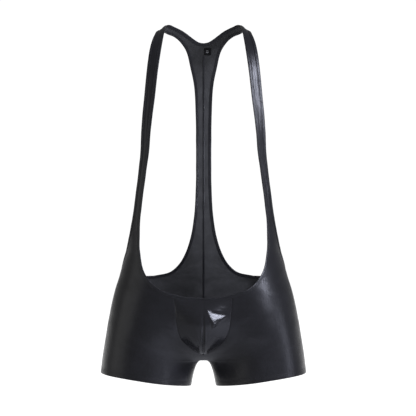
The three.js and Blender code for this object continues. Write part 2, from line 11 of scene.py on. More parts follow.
import bpy
import numpy as np
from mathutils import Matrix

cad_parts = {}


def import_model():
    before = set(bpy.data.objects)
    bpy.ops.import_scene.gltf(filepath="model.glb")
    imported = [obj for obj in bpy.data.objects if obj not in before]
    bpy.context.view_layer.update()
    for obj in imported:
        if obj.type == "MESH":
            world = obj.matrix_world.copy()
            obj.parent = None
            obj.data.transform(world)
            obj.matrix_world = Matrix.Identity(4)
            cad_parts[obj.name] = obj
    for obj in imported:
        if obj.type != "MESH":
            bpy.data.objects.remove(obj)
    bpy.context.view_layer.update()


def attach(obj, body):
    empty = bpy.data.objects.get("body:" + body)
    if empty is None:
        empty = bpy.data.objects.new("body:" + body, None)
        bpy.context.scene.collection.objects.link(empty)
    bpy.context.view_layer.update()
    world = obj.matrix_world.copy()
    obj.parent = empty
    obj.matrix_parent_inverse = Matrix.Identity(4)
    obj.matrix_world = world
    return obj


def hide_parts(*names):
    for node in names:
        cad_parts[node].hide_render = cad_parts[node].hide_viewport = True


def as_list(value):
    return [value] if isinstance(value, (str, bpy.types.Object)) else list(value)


MM = 0.001
BODY = "root"
LOG = logging.getLogger("singlet")

# Driving sizes of the garment
CLOTH = 0.8
SEAM = 0.01
STRAP_INNER = 69.0
SHOULDER_SLOPE = 0.78
SLOPE_FADE = 60.0
CROTCH = -618.5
HEM_LEVEL = -669.5
HEM_SLANT = 1.5
HEM_INNER = 22.9
HEM_DEPTH = 10.0
LEG_OPENING = 0.33
SIDE_OF_ARMHOLE = -440.0
ARMHOLE_DIP = 27.0
DIP_REACH = 85.0
DIP_FADE = 75.0
SIDE_POWER = 3.4
SECTION_POWER = 2.25
NECK_BAND = 6.5
ARM_BAND = 5.5
UNDER_BAND = 3.5

# Levels at which the rows of a panel change their run
FRONT_STRAP_END = -387.0
BACK_ROWS_FROM = -34.0
YOKE_END = -40.0
BACK_STRAP_END_MIDDLE = -404.0
BACK_STRAP_END_ARM = -392.0
FLARE_END = -505.0
SEAT_END = -580.0

# Share, short and long wave, and how the phase shifts each, of the two parts of a ripple
RIPPLES = ((0.62, 7.1, 31.0, 1.0, 2.3), (0.38, 3.9, 17.0, 1.7, -1.0))

# Shallow dip beside a crease: its share of the crease's height, and of its width
CREASE_DIP = 0.28
CREASE_DIP_WIDTH = 2.2
CREASE_REACH = 4.0
CREASE_STEPS = 160

SMOOTH_ANGLE = math.radians(55)


class Hand(Enum):
    """The wearer's side that a piece lies on, with the sign of X there."""

    LEFT = 1
    RIGHT = -1


class Place(NamedTuple):
    """A place on the front or the back: distance from the middle, and height."""

    x: float
    z: float


class FigureRow(NamedTuple):
    """Half breadth, and depth forwards and back, of a general figure at one height."""

    z: float
    half: float
    front: float
    back: float


class Fold(NamedTuple):
    """A soft ridge, or a trough where height is below 0, from one place to another.

    The bow is how far its middle stands off the straight line between them.
    """

    x1: float
    z1: float
    x2: float
    z2: float
    width: float
    height: float
    bow: float = 0.0


FIGURE = (
    FigureRow(0, 165, 92, 104),
    FigureRow(-100, 160, 100, 107),
    FigureRow(-200, 158, 108, 107),
    FigureRow(-250, 151, 106, 101),
    FigureRow(-300, 145, 103, 95),
    FigureRow(-350, 141.5, 100, 91),
    FigureRow(-414, 143.8, 99, 93),
    FigureRow(-459, 153.9, 101, 101),
    FigureRow(-489, 163.2, 102, 110),
    FigureRow(-518, 170.1, 102, 118),
    FigureRow(-548, 175.7, 101, 124),
    FigureRow(-578, 180.8, 99, 124),
    FigureRow(-607, 185.4, 97, 118),
    FigureRow(-637, 189.2, 95, 108),
)

# Height gained at the side for each level, for the slanted hem
LIFT = ((0, 0), (-480, 0), (-540, 3), (-580, 8), (-618.5, 15.8), (-669.5, 30.5))

# Level, then distance from the middle at which the flat of the cloth turns into the side
FLAT = ((0, 25), (-300, 30), (-440, 48), (-530, 80), (-618.5, 104), (-670, 104))

FRONT_NECK = (
    Place(69, 0), Place(71, -16), Place(73, -31), Place(76.4, -56), Place(82.2, -101),
    Place(88.9, -159), Place(95.2, -216), Place(102.4, -273), Place(110.4, -330),
    Place(113.8, -358), Place(114.7, -387), Place(114.4, -412), Place(109.9, -440),
    Place(98.6, -463.4), Place(79.8, -481), Place(58.7, -489), Place(31, -495.6),
    Place(0, -497.2),
)
FRONT_ARM = (
    Place(85, 0), Place(88.2, -16), Place(91.8, -29), Place(96.9, -54), Place(102.2, -101),
    Place(107.6, -158), Place(111.5, -215), Place(116.4, -272), Place(124.3, -330),
    Place(134.7, -388), Place(140.7, -414),
)
POUCH_SEAM = (
    Place(52, -488), Place(51.5, -504), Place(50, -519), Place(47, -550), Place(43.5, -565),
    Place(39, -575), Place(30.5, -585), Place(21, -592.5), Place(11, -599), Place(0, -603),
)
BACK_NECK = (
    Place(69, 0), Place(55.9, -5), Place(48, -8.8), Place(35.8, -14.4), Place(25.7, -19.8),
    Place(15.9, -25), Place(8.3, -28.2), Place(0, -29.6),
)
BACK_ARM = (
    Place(85, 0), Place(69.5, -10), Place(55.5, -17.3), Place(44.4, -25.4), Place(32.9, -40.5),
    Place(25, -70), Place(18.9, -99), Place(15.8, -145), Place(14.6, -220), Place(14.6, -270),
    Place(15.9, -320), Place(19.2, -360), Place(24.2, -390), Place(32.2, -417),
    Place(46.6, -444), Place(64.6, -460), Place(95, -467),
)


@dataclass(frozen=True)
class Column:
    """A smooth curve through the rows of a table that never overshoots them.

    Args:
        rows: pairs of a value and what it is there.
    """

    rows: Sequence[tuple[float, float]]

    def __call__(self, value: np.ndarray) -> np.ndarray:
        """Reads the curve.

        Args:
            value: where to read it.

        Returns:
            What the curve is there.
        """
        x, y = np.array(sorted(self.rows), float).T
        step = np.diff(x)
        slope = np.diff(y) / step
        turns = slope[:-1] * slope[1:] <= 0
        total = np.where(turns, 1, slope[:-1] + slope[1:])
        inner = np.where(turns, 0, 2 * slope[:-1] * slope[1:] / total)
        tangent = np.concatenate([slope[:1], inner, slope[-1:]])
        v = np.clip(value, x[0], x[-1])
        i = np.clip(np.searchsorted(x, v) - 1, 0, len(x) - 2)
        t = (v - x[i]) / step[i]
        rise = (3 - 2 * t) * t * t
        swing = step[i] * t * (1 - t) * (tangent[i] * (1 - t) - tangent[i + 1] * t)
        return y[i] * (1 - rise) + y[i + 1] * rise + swing


HALF_BREADTH = Column([(r.z, r.half) for r in FIGURE])
LIFT_AT = Column(LIFT)
FLAT_HALF = Column(FLAT)


@dataclass(frozen=True)
class Wall:
    """Middle surface of the front or back cloth, spanned over a general figure.

    A place on it is the way in from the side seam, and the way down from the shoulder ridge.

    Args:
        sign: -1 for the front and 1 for the back.
        depths: the figure's depth at each level.
        shoulder: radius of the arch over the shoulder ridge.
        seat_top: level from which the middle runs in to the crotch.
        roundness: power of that run.
        dip: how far the armhole's end dips near the side.
        steps: cells across the flat part of a row, and across its side.
        portion: about how many places are worked out at once.
    """

    sign: float
    depths: Column
    shoulder: float
    seat_top: float
    roundness: float
    dip: float
    steps: int = 40
    portion: int = 20000

    def level_at(self, down: np.ndarray) -> np.ndarray:
        """Finds the level of a row.

        Args:
            down: way down from the ridge.

        Returns:
            Height of the row in the middle.
        """
        quarter = self.shoulder * math.pi / 2
        arched = -self.shoulder * (1 - np.cos(np.minimum(down, quarter) / self.shoulder))
        return np.where(down > quarter, -self.shoulder - (down - quarter), arched)

    def down_at(self, level: np.ndarray) -> np.ndarray:
        """Finds the row of a level.

        Args:
            level: height of the row in the middle.

        Returns:
            Way down from the ridge.
        """
        quarter = self.shoulder * math.pi / 2
        arched = self.shoulder * np.arccos(np.clip(1 + level / self.shoulder, -1, 1))
        return np.where(level < -self.shoulder, quarter - level - self.shoulder, arched)

    def _middle(self, level: np.ndarray) -> np.ndarray:
        """Finds the depth of the middle line, which runs under the crotch.

        Args:
            level: heights.

        Returns:
            Depth of the middle at each.
        """
        t = np.clip((self.seat_top - level) / (self.seat_top - CROTCH), 0, 1)
        return self.depths(level) * np.sqrt(1 - t**self.roundness)

    def _rise(self, level: np.ndarray) -> np.ndarray:
        """Finds how far a level rises at the side to meet the armhole.

        Args:
            level: heights.

        Returns:
            The rise at each.
        """
        t = np.clip((SIDE_OF_ARMHOLE - ARMHOLE_DIP - level) / DIP_FADE, 0, 1)
        return self.dip * (1 - t) ** 2 * (1 + 2 * t)

    def section(self, down: np.ndarray) -> tuple[np.ndarray, np.ndarray, np.ndarray]:
        """Works out whole rows, from the middle or inner leg round to the side.

        Args:
            down: way down from the ridge, one value for each row.

        Returns:
            Points, the length round the row up to each, and the distance from the middle.
        """
        level = self.level_at(down)[:, None]
        rise = self._rise(level)
        lift = LIFT_AT(level)
        half = HALF_BREADTH(level + lift + rise)
        depth = self.depths(level)
        middle = self._middle(level)
        flat = FLAT_HALF(level)
        share = np.maximum(CROTCH - level, 0) / (CROTCH - HEM_LEVEL)
        inner = HEM_INNER * share**LEG_OPENING
        t = np.arange(self.steps) / self.steps
        x1 = np.hypot(inner, np.sqrt(flat**2 - inner**2) * t)
        spare = np.sqrt(np.maximum(depth**2 - middle**2, 0))
        y1 = np.hypot(middle, spare * np.sin(t * math.pi / 2))
        angle = np.arange(self.steps + 1) / self.steps * math.pi / 2
        power = 2 / SECTION_POWER
        x2 = flat + (half - flat) * np.sin(angle) ** power
        y2 = depth * np.maximum(np.cos(angle), 0) ** power
        x = np.concatenate([x1, x2], axis=1)
        y = np.concatenate([y1, y2], axis=1)
        run = np.hypot(np.diff(x), np.diff(y))
        length = np.concatenate([np.zeros((len(x), 1)), np.cumsum(run, axis=1)], axis=1)
        near = np.maximum(0, 1 - (length[:, -1:] - length) / DIP_REACH)
        slope = SHOULDER_SLOPE * np.exp(-((down[:, None] / SLOPE_FADE) ** 2))
        slant = 1 - (1 - np.minimum(x / half, 1)) ** HEM_SLANT
        z = level + lift * slant + rise * near**SIDE_POWER - slope * (x - STRAP_INNER)
        arch = np.sin(np.minimum(down[:, None] / self.shoulder, math.pi / 2))
        return np.stack([x, self.sign * y * arch, z], axis=2), length, x

    def at(self, places: np.ndarray) -> np.ndarray:
        """Finds points of the cloth.

        Args:
            places: pairs of way in and way down, in an array of any shape.

        Returns:
            The points, in an array of that shape.
        """
        flat = places.reshape(-1, 2)
        found = []
        for part in np.array_split(flat, max(len(flat) // self.portion, 1)):
            points, length, _ = self.section(part[:, 1])
            along = length[:, -1] - part[:, 0]
            i = np.clip((length <= along[:, None]).sum(axis=1) - 1, 0, length.shape[1] - 2)
            row = np.arange(len(part))
            t = (along - length[row, i]) / (length[row, i + 1] - length[row, i])
            found.append(points[row, i] * (1 - t)[:, None] + points[row, i + 1] * t[:, None])
        return np.concatenate(found).reshape(*places.shape[:-1], 3)

    def whole(self, down: np.ndarray) -> np.ndarray:
        """Gives the way in of the middle line for each row."""
        return self.section(down)[1][:, -1]

    def place(self, spots: Sequence[tuple[float, float]]) -> np.ndarray:
        """Turns distances from the middle and heights into places on the cloth.

        Args:
            spots: pairs of distance from the middle and height.

        Returns:
            Pairs of way in and way down.
        """
        x, z = np.array(spots, float).T
        down = self.down_at(z)
        _, length, across = self.section(down)
        i = np.clip((across < x[:, None]).sum(axis=1) - 1, 0, across.shape[1] - 2)
        row = np.arange(len(x))
        step = across[row, i + 1] - across[row, i]
        t = (x - across[row, i]) / np.where(step == 0, 1, step)
        along = length[row, i] + t * (length[row, i + 1] - length[row, i])
        return np.stack([length[:, -1] - along, down], axis=1)

    def placed(self, x: np.ndarray, level: np.ndarray) -> np.ndarray:
        """Turns a grid of distances from the middle and one of heights into places.

        Args:
            x: distances from the middle.
            level: heights.

        Returns:
            Pairs of way in and way down, in a grid of that shape.
        """
        spots = np.stack([x.ravel(), level.ravel()], axis=1)
        return self.place(spots).reshape(*x.shape, 2)

    def slopes(self, places: np.ndarray) -> tuple[np.ndarray, np.ndarray]:
        """Finds how a point changes with each way over the cloth.

        Args:
            places: pairs of way in and way down.

        Returns:
            The change with the way in, and with the way down.
        """
        step = 0.5
        across = self.at(places + [step, 0]) - self.at(places - [step, 0])
        low = places - [0, step]
        low[..., 1] = np.maximum(low[..., 1], 0)
        along = self.at(places + [0, step]) - self.at(low)
        reach = places[..., 1:] + step - low[..., 1:]
        return across / (2 * step), along / reach

    def normals(self, places: np.ndarray) -> np.ndarray:
        """Finds the outward direction at places.

        Args:
            places: pairs of way in and way down.

        Returns:
            Unit vectors.
        """
        across, along = self.slopes(places)
        normal = -np.cross(across, along) * self.sign
        return normal / np.linalg.norm(normal, axis=-1, keepdims=True)

    def shifted(self, line: np.ndarray, distance: float) -> np.ndarray:
        """Moves a line over the cloth by a real distance.

        Args:
            line: places along it.
            distance: how far, positive away from the side for a line that runs down.

        Returns:
            The moved places.
        """
        run = np.gradient(line, axis=0)
        across, along = self.slopes(line)
        aa = (across * across).sum(axis=1)
        ab = (across * along).sum(axis=1)
        bb = (along * along).sum(axis=1)
        m = ab * run[:, 0] + bb * run[:, 1]
        n = -(aa * run[:, 0] + ab * run[:, 1])
        size = np.sqrt(aa * m * m + 2 * ab * m * n + bb * n * n)
        moved = line + distance * np.stack([m, n], axis=1) / size[:, None]
        moved[:, 1] = np.maximum(moved[:, 1], 0)
        return moved

    def edge(self, spots: Sequence[Place], end: Sequence[float] | None = None) -> np.ndarray:
        """Draws a smooth line over the cloth.

        Args:
            spots: distances from the middle and heights that it passes.
            end: way in and way down of one more place at its end.

        Returns:
            Evenly spaced places along it.
        """
        knots = self.place(spots)
        if end is not None:
            knots = np.vstack([knots, end])
        return smooth_line(knots)


def smooth_line(knots: np.ndarray, count: int = 320, finely: int = 40) -> np.ndarray:
    """Draws a centripetal spline and spaces places evenly along it.

    Args:
        knots: places that it passes.
        count: steps along the whole line.
        finely: steps from one knot to the next before they are spaced.

    Returns:
        The places.
    """
    ends = np.vstack([2 * knots[0] - knots[1], knots, 2 * knots[-1] - knots[-2]])
    share = np.linspace(0, 1, finely, endpoint=False)[:, None]
    pieces = []
    for p0, p1, p2, p3 in zip(ends, ends[1:], ends[2:], ends[3:]):
        d0, d1, d2 = (math.sqrt(np.linalg.norm(b - a)) for a, b in ((p0, p1), (p1, p2), (p2, p3)))
        t1 = ((p1 - p0) / d0 - (p2 - p0) / (d0 + d1) + (p2 - p1) / d1) * d1
        t2 = ((p2 - p1) / d1 - (p3 - p1) / (d1 + d2) + (p3 - p2) / d2) * d1
        cubic = (2 * p1 - 2 * p2 + t1 + t2) * share**3
        square = (3 * p2 - 3 * p1 - 2 * t1 - t2) * share**2
        pieces.append(cubic + square + t1 * share + p1)
    line = np.vstack([*pieces, knots[-1:]])
    return spaced(line, count)


def spaced(line: np.ndarray, count: int) -> np.ndarray:
    """Spaces points evenly along a line.

    Args:
        line: its points.
        count: steps along it.

    Returns:
        The points.
    """
    run = np.concatenate([[0], np.cumsum(np.linalg.norm(np.diff(line, axis=0), axis=1))])
    even = np.linspace(0, run[-1], count + 1)
    return np.stack([np.interp(even, run, axis) for axis in line.T], axis=1)


def arc_of(points: np.ndarray) -> np.ndarray:
    """Gives the length of a line up to each of its points."""
    return np.concatenate([[0], np.cumsum(np.linalg.norm(np.diff(points, axis=0), axis=1))])


def run_over(points: np.ndarray, axis: int) -> np.ndarray:
    """Gives the length over a grid of points, from its first row or column.

    Args:
        points: rows and columns of points.
        axis: 0 for the way down the rows, and 1 for the way across the columns.

    Returns:
        The length up to each point.
    """
    step = np.linalg.norm(np.diff(points, axis=axis), axis=2)
    start = np.zeros_like(step.take([0], axis=axis))
    return np.concatenate([start, np.cumsum(step, axis=axis)], axis=axis)


def trimmed(line: np.ndarray, measure: np.ndarray) -> np.ndarray:
    """Ends a line where a falling measure reaches the seam's clearance.

    Args:
        line: places along it.
        measure: the measure at each.

    Returns:
        The places, with a last one at the clearance.
    """
    last = len(line) - 1
    while measure[last] <= SEAM:
        last -= 1
    a = min(last, len(line) - 2)
    t = (measure[a] - SEAM) / (measure[a] - measure[a + 1])
    return np.vstack([line[: last + 1], line[a] + (line[a + 1] - line[a]) * t])


def soft_step(share: np.ndarray) -> np.ndarray:
    """Eases a share between 0 and 1 at both ends."""
    return share * share * (3 - 2 * share)


def trough(distance: np.ndarray, depth: float, width: float) -> np.ndarray:
    """Gives the depth of a soft groove at distances from its line."""
    return depth * np.exp(-((distance / width) ** 2))


FRONT = Wall(
    sign=-1, depths=Column([(r.z, r.front) for r in FIGURE]), shoulder=110,
    seat_top=-520, roundness=2, dip=0,
)
BACK = Wall(
    sign=1, depths=Column([(r.z, r.back) for r in FIGURE]), shoulder=145,
    seat_top=-560, roundness=2.2, dip=ARMHOLE_DIP,
)


def combined(
    tree: bpy.types.NodeTree, kind: str, *values: bpy.types.NodeSocket | float
) -> bpy.types.NodeSocket:
    """Adds a math node.

    Args:
        tree: the nodes that it joins.
        kind: its operation.
        values: what it works on, each a socket or a number.

    Returns:
        Its result.
    """
    node = tree.nodes.new("ShaderNodeMath")
    node.operation = kind
    for socket, value in zip(node.inputs, values):
        if isinstance(value, float):
            socket.default_value = value
        else:
            tree.links.new(value, socket)
    return node.outputs[0]


@dataclass(frozen=True)
class Finish:
    """A cloth finish, made as a material of procedural nodes on the piece's own UV map.

    Sizes of the UV map are metres over the cloth.

    Args:
        name: the material's name.
        colour: its base colour.
        roughness: its mean roughness.
        specular: how strongly it mirrors, where 0.5 is common.
        sheen: weight of its soft fuzz.
        knit: height of the ribs and loops, in millimetres.
        pitch: width of a rib, in millimetres.
        film: height of the coating's unevenness, in millimetres.
        streak: height of fine streaks along the cloth, in millimetres.
        patchy: how far colour and roughness drift.
        waves: waves in a metre of that drift, of the film and of the streaks.
        streak_stretch: scale of the streaks across and along the cloth.
    """

    name: str
    colour: tuple[float, float, float]
    roughness: float
    specular: float = 0.5
    sheen: float = 0.0
    knit: float = 0.1
    pitch: float = 0.9
    film: float = 0.0
    streak: float = 0.0
    patchy: float = 0.08
    waves: tuple[float, float, float] = (40.0, 90.0, 420.0)
    streak_stretch: tuple[float, float] = (1.0, 0.05)

    def material(self) -> bpy.types.Material:
        """Makes the material, or gives it if it is made already.

        Returns:
            The material.
        """
        made = bpy.data.materials.get(self.name)
        if made:
            return made
        made = bpy.data.materials.new(self.name)
        made.use_nodes = True
        tree = made.node_tree
        shader = tree.nodes["Principled BSDF"]
        shader.inputs["Specular IOR Level"].default_value = self.specular
        shader.inputs["Sheen Weight"].default_value = self.sheen
        shader.inputs["Sheen Roughness"].default_value = 0.4
        uv = tree.nodes.new("ShaderNodeUVMap")
        uv.uv_map = "cloth"
        drift_waves, film_waves, streak_waves = self.waves
        cloud = self._noise(tree, uv, (1, 1), drift_waves)
        self._blend(tree, cloud, shader)
        height = self._knit(tree, uv)
        for strength, stretch, scale in (
            (self.film, (1, 1), film_waves),
            (self.streak, self.streak_stretch, streak_waves),
        ):
            if strength:
                wave = self._noise(tree, uv, stretch, scale)
                height = combined(tree, "MULTIPLY_ADD", wave, strength, height)
        bump = tree.nodes.new("ShaderNodeBump")
        bump.inputs["Strength"].default_value = 1.0
        bump.inputs["Distance"].default_value = MM
        tree.links.new(height, bump.inputs["Height"])
        tree.links.new(bump.outputs["Normal"], shader.inputs["Normal"])
        return made

    def _noise(
        self,
        tree: bpy.types.NodeTree,
        uv: bpy.types.Node,
        stretch: tuple[float, float],
        scale: float,
    ) -> bpy.types.NodeSocket:
        """Adds soft noise on the UV map.

        Args:
            tree: the material's nodes.
            uv: the UV map's node.
            stretch: scale across and along the cloth.
            scale: waves in a metre.

        Returns:
            The noise's height.
        """
        mapping = tree.nodes.new("ShaderNodeMapping")
        mapping.inputs["Scale"].default_value = (*stretch, 1)
        tree.links.new(uv.outputs["UV"], mapping.inputs["Vector"])
        noise = tree.nodes.new("ShaderNodeTexNoise")
        noise.inputs["Scale"].default_value = scale
        noise.inputs["Detail"].default_value = 3
        tree.links.new(mapping.outputs["Vector"], noise.inputs["Vector"])
        return noise.outputs["Fac"]

    def _blend(
        self, tree: bpy.types.NodeTree, cloud: bpy.types.NodeSocket, shader: bpy.types.Node
    ) -> None:
        """Lets colour and roughness drift a little over the cloth.

        Args:
            tree: the material's nodes.
            cloud: soft noise.
            shader: the shader that takes them.
        """
        thin, full = 0.3, 0.7
        drift = 2.5 * self.patchy
        ramp = tree.nodes.new("ShaderNodeValToRGB")
        for stop, place, share in zip(ramp.color_ramp.elements, (thin, full), (1 - drift, 1 + drift)):
            stop.position = place
            stop.color = (*(c * share for c in self.colour), 1)
        tree.links.new(cloud, ramp.inputs["Fac"])
        tree.links.new(ramp.outputs["Color"], shader.inputs["Base Color"])
        spread = tree.nodes.new("ShaderNodeMapRange")
        spread.inputs["From Min"].default_value = thin
        spread.inputs["From Max"].default_value = full
        spread.inputs["To Min"].default_value = self.roughness * (1 + self.patchy)
        spread.inputs["To Max"].default_value = self.roughness * (1 - self.patchy)
        tree.links.new(cloud, spread.inputs["Value"])
        tree.links.new(spread.outputs["Result"], shader.inputs["Roughness"])

    def _knit(self, tree: bpy.types.NodeTree, uv: bpy.types.Node) -> bpy.types.NodeSocket:
        """Adds the fine ribs and loops of jersey.

        Args:
            tree: the material's nodes.
            uv: the UV map's node.

        Returns:
            Height in millimetres.
        """
        heights = []
        for direction, finer in (("X", 1.0), ("Y", 1.4)):
            wave = tree.nodes.new("ShaderNodeTexWave")
            wave.bands_direction = direction
            wave.inputs["Scale"].default_value = finer * math.pi / 10 / (self.pitch * MM)
            wave.inputs["Distortion"].default_value = 0.6
            wave.inputs["Detail"].default_value = 0
            tree.links.new(uv.outputs["UV"], wave.inputs["Vector"])
            heights.append(wave.outputs["Fac"])
        product = combined(tree, "MULTIPLY", *heights)
        return combined(tree, "MULTIPLY", product, self.knit)


COATED = Finish("coated_face", (0.0135, 0.0135, 0.016), 0.3, film=0.2, streak=0.05, knit=0.03)
GLOSSY = Finish("glossy_face", (0.018, 0.018, 0.0205), 0.19, film=0.14, knit=0.01, patchy=0.04)
REVERSE = Finish("matt_reverse", (0.062, 0.062, 0.062), 0.85, 0.2, sheen=0.1, knit=0.1)
BINDING = Finish("folded_binding", (0.013, 0.013, 0.0155), 0.32, film=0.25, knit=0.06)
THREAD = Finish("sewing_thread", (0.02, 0.02, 0.022), 0.5, knit=0.05, pitch=0.3)
TAPE = Finish("woven_tape", (0.004, 0.004, 0.004), 0.75, 0.3, knit=0.15, pitch=0.5)
PALE = Finish("pale_weft", (0.5, 0.5, 0.5), 0.7, knit=0.15, pitch=0.5)


@dataclass
class Shell:
    """A closed thin wall on a grid of middle points, in millimetres.

    Args:
        name: its object's name.
        middle: rows and columns of points.
        outward: unit vectors at them.
        out: reach of the wall outwards at each.
        back: reach of the wall inwards at each.
        finish: what its outer face is made of.
        lining: what its inner face is made of.
        slot: the record's material slot.
    """

    name: str
    middle: np.ndarray
    outward: np.ndarray
    out: np.ndarray
    back: np.ndarray
    finish: Finish
    lining: Finish
    slot: str

    def build(self, hand: Hand) -> bpy.types.Object:
        """Builds the wall as one mesh.

        Args:
            hand: the wearer's side that it lies on.

        Returns:
            The object.
        """
        rows, columns = self.middle.shape[:2]
        outer = self.middle + self.outward * self.out[..., None]
        inner = self.middle - self.outward * self.back[..., None]
        points = np.concatenate([outer.reshape(-1, 3), inner.reshape(-1, 3)]) * MM
        points[:, 0] *= hand.value
        across = run_over(self.middle, 1)
        along = np.repeat(run_over(self.middle, 0)[:, [columns // 2]], columns, axis=1)
        uv = np.stack([across, along], axis=2).reshape(-1, 2) * MM
        number = np.arange(rows * columns).reshape(rows, columns)
        count = rows * columns
        corners = (number[:-1, :-1], number[1:, :-1], number[1:, 1:], number[:-1, 1:])
        face = np.stack([c.ravel() for c in corners], axis=1)
        rim = np.concatenate([number[0], number[1:, -1], number[-1, -2::-1], number[-2:0:-1, 0]])
        following = np.roll(rim, -1)
        edge = np.stack([rim + count, following + count, following, rim], axis=1)
        quads = np.concatenate([face, face[:, ::-1] + count, edge])
        a, b, c, d = (points[quads[:, k]] for k in range(4))
        volume = (np.cross(a, b) * c + np.cross(a, c) * d).sum()
        if volume < 0:
            quads = quads[:, ::-1]
        kinds = np.concatenate([np.zeros(len(face)), np.ones(len(face)), np.zeros(len(edge))])
        made = mesh_object(self.name, points, quads, np.concatenate([uv, uv]))
        made.data.materials.append(self.finish.material())
        made.data.materials.append(self.lining.material())
        made.data.polygons.foreach_set("material_index", kinds.astype(np.int32))
        settle(made, self.slot)
        return made


def mesh_object(
    name: str, points: np.ndarray, faces: np.ndarray, uv: np.ndarray
) -> bpy.types.Object:
    """Makes a mesh object of four-sided faces.

    Args:
        name: its name.
        points: its vertices, in metres.
        faces: four vertex numbers in each row.
        uv: a place on the cloth for each vertex, in metres.

    Returns:
        The object, linked to the scene.
    """
    mesh = bpy.data.meshes.new(name)
    mesh.vertices.add(len(points))
    mesh.vertices.foreach_set("co", points.astype(np.float32).ravel())
    mesh.loops.add(faces.size)
    mesh.loops.foreach_set("vertex_index", faces.astype(np.int32).ravel())
    mesh.polygons.add(len(faces))
    mesh.polygons.foreach_set("loop_start", np.arange(0, faces.size, 4, dtype=np.int32))
    layer = mesh.uv_layers.new(name="cloth")
    layer.data.foreach_set("uv", uv[faces.ravel()].astype(np.float32).ravel())
    mesh.update(calc_edges=True)
    mesh.validate()
    made = bpy.data.objects.new(name, mesh)
    bpy.context.scene.collection.objects.link(made)
    return made


def settle(made: bpy.types.Object, slot: str) -> None:
    """Smooths a piece and fixes it to the garment's one body.

    Args:
        made: the piece.
        slot: the record's material slot; not used.
    """
    bpy.ops.object.select_all(action="DESELECT")
    made.select_set(True)
    bpy.context.view_layer.objects.active = made
    bpy.ops.object.shade_smooth_by_angle(angle=SMOOTH_ANGLE)
    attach(made, BODY)


def ripple(arc: np.ndarray, phase: float) -> np.ndarray:
    """Gives an uneven wave of height up to 1 along a seam.

    Args:
        arc: way along it.
        phase: where the wave starts.

    Returns:
        The wave's height.
    """
    height = np.zeros_like(arc)
    for share, short, far, near_shift, far_shift in RIPPLES:
        wave = np.sin(arc / short + near_shift * phase) * np.sin(arc / far + far_shift * phase)
        height = height + share * wave
    return height


def puckers(
    distance: np.ndarray, arc: np.ndarray, phase: float, size: tuple[float, float]
) -> np.ndarray:
    """Gives the uneven height of cloth beside a seam that gathers it a little.

    Args:
        distance: way from the seam.
        arc: way along it.
        phase: where the wave starts.
        size: height at the seam, and how far it reaches.

    Returns:
        The height.
    """
    height, reach = size
    return height * ripple(arc, phase) * np.exp(-distance / reach)


def crease(wall: Wall, points: np.ndarray, fold: Fold) -> np.ndarray:
    """Works out the height of one crease over a piece of cloth.

    Args:
        wall: the surface that it runs over.
        points: rows and columns of the cloth's points.
        fold: the crease.

    Returns:
        Its height at each point.
    """
    s = np.linspace(0, 1, CREASE_STEPS + 1)
    x = fold.x1 + (fold.x2 - fold.x1) * s
    z = fold.z1 + (fold.z2 - fold.z1) * s
    run = math.hypot(fold.x2 - fold.x1, fold.z2 - fold.z1)
    bulge = 4 * s * (1 - s) * fold.bow / run
    x = x - (fold.z2 - fold.z1) * bulge
    z = z + (fold.x2 - fold.x1) * bulge
    path = wall.at(wall.place(np.stack([np.abs(x), z], axis=1)))
    low = path.min(axis=0) - CREASE_REACH * fold.width
    high = path.max(axis=0) + CREASE_REACH * fold.width
    near = ((points > low) & (points < high)).all(axis=-1)
    rise = np.zeros(points.shape[:2])
    if not near.any():
        return rise
    gap = np.linalg.norm(points[near][:, None] - path[None], axis=2)
    along = np.sin(math.pi * s[gap.argmin(axis=1)])
    d = gap.min(axis=1) / fold.width
    rise[near] = fold.height * along * (trough(d, 1, 1) - trough(d, CREASE_DIP, CREASE_DIP_WIDTH))
    return rise


def grid_normals(points: np.ndarray, like: np.ndarray) -> np.ndarray:
    """Finds unit normals of a grid of points.

    Args:
        points: rows and columns of points.
        like: vectors on whose side they lie.

    Returns:
        The unit vectors.
    """
    normal = np.cross(np.gradient(points, axis=0), np.gradient(points, axis=1))
    size = np.linalg.norm(normal, axis=-1, keepdims=True)
    normal = np.where(size > 1e-9, normal / np.maximum(size, 1e-9), like)
    side = np.sign((normal * like).sum(axis=-1, keepdims=True))
    return normal * np.where(side == 0, 1, side)


def fitted(wall: Wall, line: np.ndarray, to_middle: bool) -> np.ndarray:
    """Runs a line from the ridge to the middle or the side, and ends it just short of both.

    Args:
        wall: the surface that it runs over.
        line: places along it.
        to_middle: whether it ends at the middle.

    Returns:
        The places.
    """
    line = trimmed(line[::-1], line[::-1, 1])[::-1]
    return trimmed(line, wall.at(line)[:, 0] if to_middle else line[:, 0])


def paired(
    wall: Wall, first: np.ndarray, second: np.ndarray, cell: float
) -> tuple[np.ndarray, np.ndarray]:
    """Sets places of two facing lines against each other, by their shares of the length.

    Args:
        wall: the surface that they run over.
        first: places along one line.
        second: places along the other.
        cell: how far apart rows lie on the longer one.

    Returns:
        As many places on the one as on the other.
    """
    arcs = [arc_of(wall.at(line)) for line in (first, second)]
    count = max(int(max(a[-1] for a in arcs) / cell), 2)
    even = np.linspace(0, 1, count + 1)
    found = []
    for line, arc in zip((first, second), arcs):
        where = even * arc[-1]
        found.append(np.stack([np.interp(where, arc, axis) for axis in line.T], axis=1))
    return found[0], found[1]


